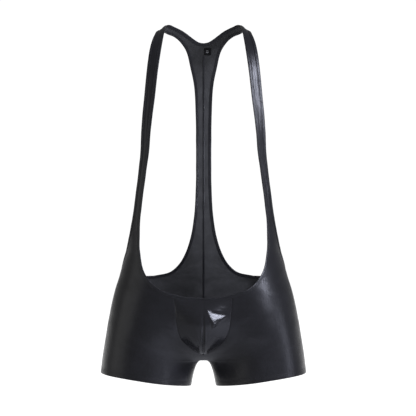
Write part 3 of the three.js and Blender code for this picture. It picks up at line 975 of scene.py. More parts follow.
@dataclass
class Cut:
    """The lines to which the garment is cut, sewn and bound, on its left half.

    Args:
        cell: how far apart rows lie on the straps, the hip and the seat.
        lower_cell: the same near the crotch.
        lower_crowding: power by which rows crowd towards the crotch.
        leg_rows: rows down the leg, and down the hem.
        seam_rows: steps along the pouch seam.
        side_rows: rows on the side seam beside the scoop, and below the back's armhole.
        back_levels: levels down the back strap, and down the seat, from which rows are drawn.
        clear: least gap between the rows of two runs.
    """

    front_neck: np.ndarray = field(init=False)
    front_arm: np.ndarray = field(init=False)
    back_neck: np.ndarray = field(init=False)
    back_arm: np.ndarray = field(init=False)
    pouch_seam: np.ndarray = field(init=False)
    cell: float = 3.0
    lower_cell: float = 2.2
    lower_crowding: float = 1.5
    leg_rows: int = 18
    seam_rows: int = 62
    side_rows: tuple[int, int] = (12, 30)
    back_levels: tuple[int, int] = (240, 40)
    clear: float = 0.6

    def __post_init__(self) -> None:
        """Draws the lines."""
        side = float(FRONT.down_at(np.array(SIDE_OF_ARMHOLE)))
        low = float(BACK.down_at(np.array(SIDE_OF_ARMHOLE - ARMHOLE_DIP)))
        self.front_neck = FRONT.edge(FRONT_NECK)
        self.front_arm = FRONT.edge(FRONT_ARM, (0, side))
        self.back_neck = BACK.edge(BACK_NECK)
        flare = BACK.edge(BACK_ARM)
        tail = np.linspace(flare[-1, 0], 0, 61)[1:]
        level = np.stack([tail, np.full(len(tail), low)], axis=1)
        self.back_arm = np.vstack([flare, level])
        self.pouch_seam = FRONT.edge(POUCH_SEAM)

    def beside(self, wall: Wall, line: np.ndarray, distance: float, to_middle: bool) -> np.ndarray:
        """Gives a line that runs a distance from an edge, ended at the seams.

        Args:
            wall: the surface that it runs over.
            line: the edge.
            distance: how far from the edge.
            to_middle: whether it ends at the middle.

        Returns:
            Its places.
        """
        return fitted(wall, wall.shifted(line, distance), to_middle)

    def lower_rows(
        self, wall: Wall, top: float, inner: np.ndarray | None = None
    ) -> tuple[np.ndarray, np.ndarray]:
        """Lays level rows down to the crotch, and on down the leg to the hem.

        Args:
            wall: the surface that they lie on.
            top: level of the first row.
            inner: places on which the first rows start, where that isn't the middle.

        Returns:
            Their inner and outer places.
        """
        fewest = 4
        t = np.linspace(0, 1, max(int((top - CROTCH) / self.lower_cell), fewest) + 1)
        above = CROTCH + (top - CROTCH) * (1 - t) ** self.lower_crowding
        turn_up = HEM_LEVEL + HEM_DEPTH
        leg_end, hem_start, hem_end = turn_up + 2, turn_up + 1.4, HEM_LEVEL + 0.3
        leg = CROTCH - (CROTCH - leg_end) * np.linspace(0, 1, self.leg_rows) ** 2
        hem = np.linspace(hem_start, hem_end, self.leg_rows)
        levels = [above, leg[1:], hem, np.array([HEM_LEVEL])]
        down = wall.down_at(np.concatenate(levels))
        middle = np.stack([wall.whole(down) - SEAM, down], axis=1)
        if inner is not None:
            middle = np.vstack([inner, middle])
        side = np.stack([np.full(len(middle), SEAM), middle[:, 1]], axis=1)
        return middle, side

    def corner(self, neck: np.ndarray) -> int:
        """Finds where a line beside the scoop meets the pouch seam.

        Args:
            neck: places along the line.

        Returns:
            Number of the first place past it.
        """
        seam = np.interp(neck[:, 1], self.pouch_seam[:, 1], self.pouch_seam[:, 0])
        past = (neck[:, 0] > seam) & (neck[:, 1] > self.pouch_seam[0, 1])
        return int(np.argmax(past))


def split(wall: Wall, line: np.ndarray, level: float) -> tuple[np.ndarray, np.ndarray]:
    """Splits a line at its first place below a level.

    Args:
        wall: the surface that it runs over.
        line: places along it.
        level: the level.

    Returns:
        The part down to that place, and the part from it on.
    """
    at = int(np.argmax(line[:, 1] > float(wall.down_at(np.array(level)))))
    return line[: at + 1], line[at:]


def front_rows(cut: Cut) -> tuple[np.ndarray, np.ndarray]:
    """Lays rows over the front panel: strap, fan under the scoop, hip and leg.

    Args:
        cut: the garment's lines.

    Returns:
        Inner and outer places of each row.
    """
    neck = cut.beside(FRONT, cut.front_neck, UNDER_BAND - NECK_BAND, True)
    arm = cut.beside(FRONT, cut.front_arm, ARM_BAND - UNDER_BAND, False)
    neck = neck[: cut.corner(neck) + 1]
    seam = FRONT.shifted(cut.pouch_seam, -SEAM)
    seam = seam[seam[:, 1] > neck[-1, 1] + cut.clear]
    seam = spaced(seam, cut.seam_rows)
    neck_strap, neck_scoop = split(FRONT, neck, FRONT_STRAP_END)
    arm_strap, arm_side = split(FRONT, arm, FRONT_STRAP_END)
    side = np.linspace(arm[-1, 1], seam[0, 1], cut.side_rows[0])[1:]
    arm_side = np.vstack([arm_side, np.stack([np.full(len(side), SEAM), side], axis=1)])
    neck_scoop = np.vstack([neck_scoop, seam[:1]])
    strap = paired(FRONT, neck_strap, arm_strap, cut.cell)
    fan = paired(FRONT, neck_scoop, arm_side, cut.cell)
    pouch_end = float(FRONT.level_at(seam[-1:, 1])[0])
    lower = cut.lower_rows(FRONT, pouch_end - cut.clear, seam[1:])
    return tuple(np.vstack([strap[k], fan[k][1:], lower[k]]) for k in (0, 1))


def back_rows(cut: Cut) -> tuple[np.ndarray, np.ndarray]:
    """Lays rows over the back panel: yoke, narrow strap, flare, seat and leg.

    Args:
        cut: the garment's lines.

    Returns:
        Inner and outer places of each row.
    """
    neck = cut.beside(BACK, cut.back_neck, UNDER_BAND - NECK_BAND, True)
    arm = cut.beside(BACK, cut.back_arm, ARM_BAND - UNDER_BAND, False)
    strap = np.linspace(BACK_ROWS_FROM, FLARE_END, cut.back_levels[0])
    seat = np.linspace(FLARE_END, SEAT_END, cut.back_levels[1])[1:]
    down = BACK.down_at(np.concatenate([strap, seat]))
    down = down[down > neck[-1, 1] + 0.5]
    middle = np.stack([BACK.whole(down) - SEAM, down], axis=1)
    yoke_arm, rest = split(BACK, arm, YOKE_END)
    strap_arm, flare_arm = split(BACK, rest, BACK_STRAP_END_ARM)
    strap_middle, rest = split(BACK, middle, BACK_STRAP_END_MIDDLE)
    flare_middle, seat_middle = split(BACK, rest, FLARE_END + 0.1)
    side = np.linspace(arm[-1, 1], middle[-1, 1], cut.side_rows[1])
    side = np.stack([np.full(len(side), SEAM), side], axis=1)
    parts = [
        paired(BACK, neck, yoke_arm, cut.cell / 2),
        paired(BACK, np.vstack([neck[-1:], strap_middle]), strap_arm, cut.cell),
        paired(BACK, flare_middle, flare_arm, cut.cell),
        paired(BACK, seat_middle, side, cut.cell),
    ]
    lower = cut.lower_rows(BACK, SEAT_END - cut.lower_cell)
    first, *others = parts
    return tuple(np.vstack([first[k], *(p[k][1:] for p in others), lower[k]]) for k in (0, 1))


@dataclass
class Cloth:
    """A cut panel of cloth, with its creases, seam puckers and turned hem.

    Lengths are in millimetres, apart from those of the cut piece.

    Args:
        name: its object's name and its CAD node's name, without the hand.
        wall: the surface that it follows.
        rows: inner and outer places of each row.
        folds: its creases on the left, and on the right.
        phase: sets its seam puckers apart from another panel's.
        flat: width and length of the cut piece, in metres; not used.
        area: area of the cut piece, in square metres, which is stretched by an eighth in wear; not
            used.
        columns: cells across it.
        crowding: how far they crowd towards both sides.
        groove: depth and width of the groove along a seam.
        pucker: height of the puckers along a seam, and how far they reach.
        hand_shift: sets the two hands' puckers apart.
        hem_wave: height of the hem's unevenness, and how far it reaches.
        hem_pace: how quickly that changes along the hem.
        needles: how far the rows of stitches lie from the hem.
        hole: depth and width of the groove in which the stitches lie.
        turned: thickness of the layer that is turned up at the hem.
        turned_edge: how far it reaches past the hem's depth, and over what length it ends.
        roll: length over which the hem's fold is rounded.
        thin: least share of the cloth's thickness there.
        easing: length over which the turn to the leg is rounded.
        eased_reach: how far above and below the crotch that goes, and over what it fades.
        eased_gap: how far from the inner line it starts, and over what it grows.
        hem_gap: length over which it fades towards the hem.
    """

    name: str
    wall: Wall
    rows: tuple[np.ndarray, np.ndarray]
    folds: dict[Hand, Sequence[Fold]]
    phase: float
    flat: tuple[float, float]
    area: float
    columns: int = 84
    crowding: float = 0.72
    groove: tuple[float, float] = (0.42, 1.0)
    pucker: tuple[float, float] = (0.16, 7.0)
    hand_shift: float = 1.3
    hem_wave: tuple[float, float] = (0.3, 9.0)
    hem_pace: float = 0.7
    needles: tuple[float, float] = (9.2, 6.8)
    hole: tuple[float, float] = (0.16, 0.7)
    turned: float = 0.7
    turned_edge: tuple[float, float] = (0.5, 0.8)
    roll: float = 0.9
    thin: float = 0.15
    easing: float = 17.0
    eased_reach: tuple[float, float] = (75.0, 30.0)
    eased_gap: tuple[float, float] = (3.0, 30.0)
    hem_gap: float = 24.0

    def eased(self, points: np.ndarray, from_inner: np.ndarray) -> np.ndarray:
        """Rounds off the turn from the belly or seat to the leg, away from the inner seam.

        Args:
            points: rows and columns of the cloth's points.
            from_inner: way of each from the inner line.

        Returns:
            The points with that turn rounded.
        """
        far, fade = self.eased_reach
        gap, growth = self.eased_gap
        off = np.abs(self.wall.level_at(self.rows[0][:, 1]) - CROTCH)
        near = np.flatnonzero(off < far)
        down = self.rows[0][near, 1]
        weight = np.exp(-(((down[:, None] - down[None]) / self.easing) ** 2))
        weight *= np.gradient(down)[None]
        weight /= weight.sum(axis=1, keepdims=True)
        mean = np.einsum("ij,jkc->ikc", weight, points[near])
        share = soft_step(np.clip((from_inner[near] - gap) / growth, 0, 1))[..., None]
        reach = np.clip((far - off[near]) / fade, 0, 1)
        reach = (reach * np.clip((down[-1] - down) / self.hem_gap, 0, 1))[:, None, None]
        rounded = points.copy()
        rounded[near, :, :2] += (mean - points[near])[..., :2] * share * reach
        return rounded

    def build(self, hand: Hand) -> tuple[bpy.types.Object, list[np.ndarray]]:
        """Builds the panel.

        Args:
            hand: the wearer's side that it lies on.

        Returns:
            The panel, and the lines of needle holes at its hem.
        """
        even = np.linspace(0, 1, self.columns + 1)
        v = (even - self.crowding * np.sin(2 * math.pi * even) / (2 * math.pi))[None, :, None]
        places = self.rows[0][:, None] * (1 - v) + self.rows[1][:, None] * v
        smooth = self.wall.at(places)
        from_inner = run_over(smooth, 1)
        from_outer = from_inner[:, -1:] - from_inner
        smooth = self.eased(smooth, from_inner)
        outward = grid_normals(smooth, self.wall.normals(places))
        along = run_over(smooth, 0)
        from_hem = along[-1:] - along
        rise = np.zeros(smooth.shape[:2])
        for fold in self.folds[hand]:
            rise += crease(self.wall, smooth, fold)
        phase = self.phase + self.hand_shift * hand.value
        for distance, line in ((from_inner, along[:, :1]), (from_outer, along[:, -1:])):
            rise -= trough(distance, *self.groove)
            rise += puckers(distance, line, phase, self.pucker)
        for needle in self.needles:
            rise -= trough(from_hem - needle, *self.hole)
        rise += puckers(from_hem, from_inner * self.hem_pace, phase + 2, self.hem_wave)
        middle = smooth + outward * rise[..., None]
        outward = grid_normals(middle, outward)
        rolled = np.sqrt(1 - (1 - np.clip(from_hem / self.roll, 0, 1)) ** 2)
        half = CLOTH / 2 * np.maximum(rolled, self.thin)
        past, ending = self.turned_edge
        doubled = np.clip((HEM_DEPTH + past - from_hem) / ending, 0, 1)
        shell = Shell(
            f"{self.name}_{hand.name.lower()}_cloth", middle, outward, half,
            half + self.turned * doubled * rolled, COATED, REVERSE, "coated_cloth",
        )
        made = shell.build(hand)
        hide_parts(f"{self.name}_{hand.name.lower()}")
        outer = middle + outward * half[..., None]
        lines = [level_line(outer, from_hem, needle) for needle in self.needles]
        return made, lines


def level_line(points: np.ndarray, measure: np.ndarray, value: float) -> np.ndarray:
    """Draws the line over a grid where a measure that falls down it has a value.

    Args:
        points: rows and columns of points.
        measure: the measure at each.
        value: its value on the line.

    Returns:
        A point of the line for each column.
    """
    row = (measure > value).sum(axis=0) - 1
    column = np.arange(points.shape[1])
    high, low = measure[row, column], measure[row + 1, column]
    t = ((high - value) / (high - low))[:, None]
    return points[row, column] * (1 - t) + points[row + 1, column] * t


@dataclass
class Pouch:
    """The full front pouch in two curved halves.

    Lengths are in millimetres, apart from those of the cut piece.

    Args:
        cut: the garment's lines.
        folds: its creases on the left, and on the right.
        fullness: how far it stands off the figure.
        down_power: how blunt its fullness is down the middle.
        across_power: how quickly its fullness falls to the seam.
        columns: cells across a half.
        crowding: how far they crowd towards both sides.
        rows: cells down a half.
        least: half breadth at its lower end.
        groove: depth and width of the groove along the middle seam.
        groove_from: share of the way down at which that groove deepens, and over what share.
        groove_least: share of its depth above that.
        edge_groove: depth and width of the groove along the outer seam.
        pucker: height of the puckers along the middle seam, and how far they reach.
        edge_pucker: the same along the outer seam.
        phases: where the waves of both start.
        flat: width and length of the cut piece, in metres; not used.
        area: area of the cut piece, in square metres; not used.
        facet: corners of the left half's flat spot: distance from the middle, and height.
        facet_slope: how the spot's depth changes across it and upwards.
        facet_edge: length over which the spot fades in.
        facet_share: how flat it is pulled, where 1 is a plane.
    """

    cut: Cut
    folds: dict[Hand, Sequence[Fold]]
    fullness: float = 20.0
    down_power: float = 0.8
    across_power: float = 1.1
    columns: int = 40
    crowding: float = 0.5
    rows: int = 76
    least: float = 0.8
    groove: tuple[float, float] = (1.5, 2.3)
    groove_from: tuple[float, float] = (0.2, 0.16)
    groove_least: float = 0.1
    edge_groove: tuple[float, float] = (0.5, 1.1)
    pucker: tuple[float, float] = (0.2, 6.0)
    edge_pucker: tuple[float, float] = (0.15, 5.0)
    phases: tuple[float, float] = (1.1, 2.1)
    flat: tuple[float, float] = (0.068, 0.112)
    area: float = 0.0056
    facet: Sequence[tuple[float, float]] = ((1, -514), (16, -551), (50, -525.5))
    facet_slope: tuple[float, float] = (0.36, 0.305)
    facet_edge: float = 4.0
    facet_share: float = 0.83

    def pulled_flat(self, full: np.ndarray) -> np.ndarray:
        """Works out how far the cloth sinks or lifts where it is pulled flat between creases.

        Args:
            full: rows and columns of the half's points.

        Returns:
            The height at each point.
        """
        corners = np.array(self.facet)
        inside = np.full(full.shape[:2], np.inf)
        for first, second in zip(corners, np.roll(corners, -1, axis=0)):
            along = (second - first) / np.linalg.norm(second - first)
            gap = full[..., [0, 2]] - first
            inside = np.minimum(inside, along[0] * gap[..., 1] - along[1] * gap[..., 0])
        share = soft_step(np.clip(inside / self.facet_edge, 0, 1))
        centre = np.unravel_index(inside.argmax(), inside.shape)
        gap = full - full[centre]
        plane = self.facet_slope[0] * gap[..., 0] + self.facet_slope[1] * gap[..., 2]
        return (gap[..., 1] - plane) * share * self.facet_share

    def layout(self) -> tuple[np.ndarray, np.ndarray, np.ndarray]:
        """Lays the grid of one half on the figure.

        Returns:
            Places, distances from the middle, and shares of the way down.
        """
        neck = self.cut.beside(FRONT, self.cut.front_neck, UNDER_BAND - NECK_BAND, True)
        start = self.cut.corner(neck)
        seam = FRONT.shifted(self.cut.pouch_seam, SEAM)
        seam = spaced(seam[seam[:, 1] > neck[start, 1]], self.rows)
        share = ((seam[:, 1] - seam[0, 1]) / (seam[-1, 1] - seam[0, 1]))[:, None]
        edge = np.maximum(FRONT.at(seam)[:, 0], self.least)
        even = np.linspace(0, 1, self.columns + 1)
        across = even - self.crowding * np.sin(2 * math.pi * even) / (2 * math.pi)
        x = SEAM + (edge[:, None] - SEAM) * across[None]
        top_x = FRONT.at(neck)[::-1, 0]
        top_down = np.interp(x, top_x, neck[::-1, 1])
        edge_down = np.interp(edge, top_x, neck[::-1, 1])
        down = seam[:, 1:] + (top_down - edge_down[:, None]) * (1 - share)
        return FRONT.placed(x, FRONT.level_at(down)), x, share

    def build(self, hand: Hand) -> bpy.types.Object:
        """Builds one half.

        Args:
            hand: the wearer's side that it lies on.

        Returns:
            The half.
        """
        places, x, share = self.layout()
        base = FRONT.at(places)
        outward = FRONT.normals(places)
        across = (x - SEAM) / (x[:, -1:] - SEAM)
        swell = np.maximum(np.sin(math.pi * share), 0) ** self.down_power
        fall = np.maximum(np.cos(across * math.pi / 2), 0) ** self.across_power
        full = base + outward * (self.fullness * swell * fall)[..., None]
        normal = grid_normals(full, outward)
        rise = np.zeros(x.shape)
        for fold in self.folds[hand]:
            rise += crease(FRONT, base, fold)
        if hand is Hand.LEFT:
            rise += self.pulled_flat(full)
        from_seam = x - SEAM
        from_edge = run_over(full, 1)
        from_edge = from_edge[:, -1:] - from_edge
        arc = arc_of(full[:, 0])[:, None]
        start, run = self.groove_from
        sunk = self.groove_least + (1 - self.groove_least) * np.clip((share - start) / run, 0, 1)
        rise -= sunk * trough(from_seam, *self.groove)
        rise -= trough(from_edge, *self.edge_groove)
        rise += puckers(from_seam, arc, self.phases[0] + hand.value, self.pucker)
        rise += puckers(from_edge, arc, self.phases[1] + hand.value, self.edge_pucker)
        middle = full + normal * rise[..., None]
        normal = grid_normals(middle, normal)
        half = np.full(x.shape, CLOTH / 2)
        shell = Shell(
            f"pouch_{hand.name.lower()}_cloth", middle, normal, half, half,
            GLOSSY, REVERSE, "gloss_cloth",
        )
        made = shell.build(hand)
        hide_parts(f"pouch_{hand.name.lower()}")
        return made


@dataclass
class Binding:
    """A strip folded over a raw edge, with its two rows of needle holes.

    Args:
        name: its CAD node's name, without the hand.
        wall: the surface that it follows.
        edge: places along its free edge.
        width: how far it reaches over the cloth, with the sign of that way.
        to_middle: whether it ends at the middle.
        folds: creases of the cloth below it.
        phase: sets its ripples apart from another strip's.
        wall_half: half the thickness of one layer.
        reach: height of the strip's middle over that of the cloth.
        step: how far apart its rows lie.
        needles: how far the rows of stitches lie from its inner edge.
        sunk: how deep they lie in it.
        clearance: gap between its inner edge and the cloth.
        relief: way in from its inner edge, and height over its reach, of the sewn part.
        swell: how far the loose part stands up.
        fold_angles: degrees round its fold at which its section has a point.
        hand_shift: sets the two hands' unevenness apart.
        wave: height of that, how quickly it changes along the strip, and over what width.
    """

    name: str
    wall: Wall
    edge: np.ndarray
    width: float
    to_middle: bool
    folds: dict[Hand, Sequence[Fold]]
    phase: float
    wall_half: float = 0.21
    reach: float = 0.79
    step: float = 2.2
    needles: tuple[float, ...] = (1.5, 4.0)
    sunk: float = 0.05
    clearance: float = 0.03
    relief: Sequence[tuple[float, float]] = ((0.35, -0.04), (0.9, 0.0), (1.5, -0.1), (2.1, 0.0))
    swell: float = 0.06
    fold_angles: tuple[float, ...] = (90, 62, 34, 12)
    hand_shift: float = 0.9
    wave: tuple[float, float, float] = (0.1, 1.6, 9.0)

    def profile(self) -> list[tuple[float, float]]:
        """Gives the folded section, from its outer edge round the fold to its inner edge.

        Returns:
            Pairs of distance from the free edge and height over the middle of the cloth.
        """
        wide, high = abs(self.width), self.reach
        outer = [(wide, CLOTH / 2 + self.wall_half + self.clearance)]
        outer += [(wide - inset, high + rise) for inset, rise in self.relief]
        loose = outer[-1][0]
        outer += [(loose * t, high + self.swell * math.sin(math.pi * t)) for t in (0.75, 0.5)]
        for angle in self.fold_angles:
            a = math.radians(angle)
            outer.append((high - high * math.cos(a), high * math.sin(a)))
        return outer + [(s, -n) for s, n in reversed(outer)]

    def build(self, hand: Hand) -> tuple[bpy.types.Object, list[np.ndarray]]:
        """Builds the strip.

        Args:
            hand: the wearer's side that it lies on.

        Returns:
            The strip, and its lines of needle holes.
        """
        sign = math.copysign(1, self.width)
        length = arc_of(self.wall.at(self.edge))[-1]
        count = int(length / self.step)
        phase = self.phase + self.hand_shift * hand.value
        height, pace, drift = self.wave
        columns = []
        lines: dict[float, tuple[np.ndarray, np.ndarray, np.ndarray]] = {}

        def line_at(distance: float) -> tuple[np.ndarray, np.ndarray, np.ndarray]:
            """Gives points, directions and creases along the strip at a distance."""
            key = round(distance, 3)
            if key not in lines:
                moved = self.wall.shifted(self.edge, sign * distance) if distance else self.edge
                places = spaced(fitted(self.wall, moved, self.to_middle), count)
                points = self.wall.at(places)
                arc = arc_of(points)
                rise = height * ripple(arc * pace, phase + distance / drift)
                for fold in self.folds[hand]:
                    rise = rise + crease(self.wall, points[:, None], fold)[:, 0]
                lines[key] = (points, self.wall.normals(places), rise)
            return lines[key]

        for distance, high in self.profile():
            points, outward, rise = line_at(distance)
            columns.append(points + outward * (rise + high)[:, None])
        middle = np.stack(columns, axis=1)
        across = np.gradient(middle, axis=1)
        along = np.gradient(middle, axis=0)
        normal = np.cross(across, along)
        normal /= np.linalg.norm(normal, axis=-1, keepdims=True)
        centre = middle.mean(axis=1, keepdims=True)
        fold_column = middle.shape[1] // 2
        toward = ((middle - centre) * normal)[:, fold_column].sum(axis=-1)
        normal *= np.sign(np.median(toward))
        half = np.full(middle.shape[:2], self.wall_half)
        shell = Shell(
            f"{self.name}_{hand.name.lower()}_strip", middle, normal, half, half,
            BINDING, BINDING, "binding",
        )
        made = shell.build(hand)
        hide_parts(f"{self.name}_{hand.name.lower()}")
        seams = []
        for needle in self.needles:
            points, outward, rise = line_at(abs(self.width) - needle)
            top = rise + self.reach + self.wall_half - self.sunk
            seams.append(points + outward * top[:, None])
        return made, seams


@dataclass
class Stitching:
    """A row of thread stitches along a line, each a small rounded bar half sunk in the cloth.

    Args:
        name: its object's name.
        pitch: how far apart stitches start.
        long: length of a stitch.
        thick: its radius.
        sides: its sides, an even number.
        ends: share of its length, and of its radius, of each of its rings.
        aim: how far ahead and behind the line is read for its direction.
        up: a direction in which no stitch runs.
    """

    name: str
    pitch: float = 3.0
    long: float = 2.3
    thick: float = 0.2
    sides: int = 6
    ends: Sequence[tuple[float, float]] = ((-0.5, 0.35), (-0.36, 1.0), (0.36, 1.0), (0.5, 0.35))
    aim: float = 0.8
    up: tuple[float, float, float] = (0.0, 0.3, 1.0)

    def bar(self) -> tuple[np.ndarray, np.ndarray]:
        """Makes one stitch along X.

        Returns:
            Its points, and four point numbers for each face.
        """
        n = self.sides
        points = []
        for share, size in self.ends:
            for k in range(n):
                a = 2 * math.pi * k / n
                radius = self.thick * size
                points.append((share * self.long, radius * math.cos(a), radius * math.sin(a)))
        last = (len(self.ends) - 1) * n
        faces = []
        for r in range(0, last, n):
            for k in range(n):
                nxt = (k + 1) % n
                faces.append((r + k, r + nxt, r + n + nxt, r + n + k))
        for k in range(1, n - 1, 2):
            faces.append((k + 2, k + 1, k, 0))
            faces.append((last, last + k, last + k + 1, last + k + 2))
        return np.array(points), np.array(faces)

    def build(self, lines: Sequence[np.ndarray], hand: Hand) -> bpy.types.Object:
        """Builds the stitches as one mesh.

        Args:
            lines: points along each row, in millimetres.
            hand: the wearer's side that they lie on.

        Returns:
            The object.
        """
        bar, faces = self.bar()
        points = []
        for line in lines:
            arc = arc_of(line)
            where = np.arange(self.pitch / 2, arc[-1], self.pitch)
            place, ahead, behind = (
                np.stack([np.interp(where + shift, arc, axis) for axis in line.T], axis=1)
                for shift in (0.0, self.aim, -self.aim)
            )
            x = ahead - behind
            x /= np.linalg.norm(x, axis=1, keepdims=True)
            y = np.cross(self.up, x)
            y /= np.linalg.norm(y, axis=1, keepdims=True)
            z = np.cross(x, y)
            points.append(place[:, None] + np.einsum("pa,asc->spc", bar, np.stack([x, y, z])))
        stitches = np.concatenate(points)
        start = np.arange(len(stitches))[:, None, None] * len(bar)
        quads = (faces[None] + start).reshape(-1, 4)
        flat = stitches.reshape(-1, 3) * MM
        flat[:, 0] *= hand.value
        if hand is Hand.RIGHT:
            quads = quads[:, ::-1]
        made = mesh_object(self.name, flat, quads, flat[:, [0, 2]])
        made.data.materials.append(THREAD.material())
        settle(made, "binding")
        return made


@dataclass
class Allowance:
    """The sewn-down edge of the cloth inside the centre back, one layer on each half. Its near-black
    coated finish is partly the edge's own dark colour and partly painted shade along the seam.

    Args:
        cut: the garment's lines.
        wide: its width.
        wall: its thickness.
        top: way down from the neck's edge to its upper end.
        bottom: level of its lower end.
        cell: how far apart its rows lie.
        columns: cells across it.
        gap: how far it starts from the middle.
        clearance: gap between it and the cloth.
        uneven: how far its width and its lift vary.
        thin: share of its thickness at its edge.
    """

    cut: Cut
    wide: float = 1.5
    wall: float = 0.5
    top: float = 28.0
    bottom: float = -606.0
    cell: float = 3.0
    columns: int = 5
    gap: float = 0.06
    clearance: float = 0.12
    uneven: tuple[float, float] = (0.2, 0.1)
    thin: float = 0.4

    def build(self, hand: Hand) -> bpy.types.Object:
        """Builds the layer of one half.

        Args:
            hand: the wearer's side that it lies on.

        Returns:
            The layer.
        """
        start = self.cut.back_neck[-1, 1] + self.top
        down = np.arange(start, float(BACK.down_at(np.array(self.bottom))), self.cell)
        across = np.linspace(0, 1, self.columns + 1)
        edge = self.wide + self.uneven[0] * ripple(down, 0.7 * hand.value)
        x = self.gap + across[None] * edge[:, None]
        places = BACK.placed(x, np.broadcast_to(BACK.level_at(down)[:, None], x.shape))
        inward = -BACK.normals(places)
        lift = CLOTH / 2 + self.wall / 2 + self.clearance
        lift = lift + self.uneven[1] * ripple(down, 2.0)[:, None] * across
        middle = BACK.at(places) + inward * lift[..., None]
        half = np.full(x.shape, self.wall / 2)
        half[:, -1] *= self.thin
        name = f"back_{hand.name.lower()}_allowance"
        # Near-black coated finish: partly the edge's own colour, partly painted shade along the centre
        # back seam.
        return Shell(name, middle, inward, half, half, BINDING, BINDING, "coated_cloth").build(hand)


@dataclass
class Label:
    """A small bare woven tab inside the back neck, with two plain pale bars.

    Args:
        cut: the garment's lines.
        wide: its width.
        high: its height.
        start: how far its near side lies from the middle.
        below: way down from the neck's edge to its top.
        wall: its thickness.
        bars: way down and both ends of each bar, as shares of the tab.
        bar_high: height of a bar.
        rows: cells down a tape.
        columns: cells across it.
        curl: how far its ends lift, and how wavy it is.
        clearance: gap between the tab and the cloth.
        bar_lift: how far a bar stands off the tab.
        thin: share of a tape's thickness at its edges.
    """

    cut: Cut
    wide: float = 13.0
    high: float = 16.0
    start: float = 1.0
    below: float = 9.0
    wall: float = 0.6
    bars: tuple[tuple[float, float, float], ...] = ((0.34, 0.3, 0.62), (0.54, 0.3, 0.62))
    bar_high: float = 1.7
    rows: int = 14
    columns: int = 12
    curl: tuple[float, float] = (0.35, 0.15)
    clearance: float = 0.25
    bar_lift: float = 0.12
    thin: float = 0.5

    def tape(
        self, name: str, x: tuple[float, float], drop: tuple[float, float], lift: float, finish: Finish
    ) -> bpy.types.Object:
        """Builds a flat tape that lies on the inside of the back.

        Args:
            name: its object's name.
            x: distance from the middle of its two sides.
            drop: way down from the neck's edge of its top and bottom.
            lift: height of its middle over that of the cloth.
            finish: what it is made of.

        Returns:
            The object.
        """
        down = self.cut.back_neck[-1, 1] + np.linspace(*drop, self.rows + 1)
        places = BACK.placed(*np.meshgrid(np.linspace(*x, self.columns + 1), BACK.level_at(down)))
        inward = -BACK.normals(places)
        share = np.linspace(0, 1, self.rows + 1)[:, None]
        curl = self.curl[0] * np.abs(2 * share - 1) ** 3 + self.curl[1] * np.sin(5 * share)
        middle = BACK.at(places) + inward * (lift + curl)[..., None]
        half = np.full(places.shape[:2], self.wall / 2)
        half[[0, -1]] *= self.thin
        half[:, [0, -1]] *= self.thin
        made = Shell(name, middle, inward, half, half, finish, finish, "label_tape")
        return made.build(Hand.LEFT)

    def build(self) -> list[bpy.types.Object]:
        """Builds the tab and its bars.

        Returns:
            The tab, then its bars.
        """
        side = (self.start, self.start + self.wide)
        drop = (self.below, self.below + self.high)
        lift = CLOTH / 2 + self.clearance + self.wall / 2
        tab = self.tape("label_tab", side, drop, lift, TAPE)
        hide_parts("label")
        made = [tab]
        for number, (down, left, right) in enumerate(self.bars, 1):
            x = (self.start + self.wide * left, self.start + self.wide * right)
            top = self.below + self.high * down
            drop = (top, top + self.bar_high)
            made.append(self.tape(f"label_bar_{number}", x, drop, lift + self.bar_lift, PALE))
        return made


@dataclass(frozen=True)
class SoftBox:
    """A soft box that lights the garment and isn't seen itself.

    Args:
        name: its name.
        place: where it stands, in metres.
        size: its width and height, in metres.
        power: watts.
        colour: its colour.
    """

    name: str
    place: tuple[float, float, float]
    size: tuple[float, float]
    power: float
    colour: tuple[float, float, float] = (1.0, 1.0, 1.0)

    def build(self, target: tuple[float, float, float]) -> None:
        """Sets it up.

        Args:
            target: what it faces.
        """
        data = bpy.data.lights.new(self.name, "AREA")
        data.shape = "RECTANGLE"
        data.size, data.size_y = self.size
        data.energy = self.power
        data.color = self.colour
        lamp = bpy.data.objects.new(self.name, data)
        lamp.location = self.place
        lamp.visible_camera = False
        way = np.array(target) - np.array(self.place)
        turn = math.atan2(way[1], way[0]) - math.pi / 2
        tilt = math.atan2(math.hypot(way[0], way[1]), -way[2])
        lamp.rotation_euler = (tilt, 0, turn)
        bpy.context.scene.collection.objects.link(lamp)


BLUISH = (0.8, 0.83, 1.0)
SOFT_BOXES = (
    SoftBox("key_box", (1.75, -1.65, 0.88), (0.65, 0.9), 72.0, BLUISH),
    SoftBox("side_box", (2.3, -0.6, -0.55), (0.5, 0.65), 3.8, BLUISH),
    SoftBox("left_box", (-2.2, -0.5, -0.3), (1.9, 1.6), 4.5),
)


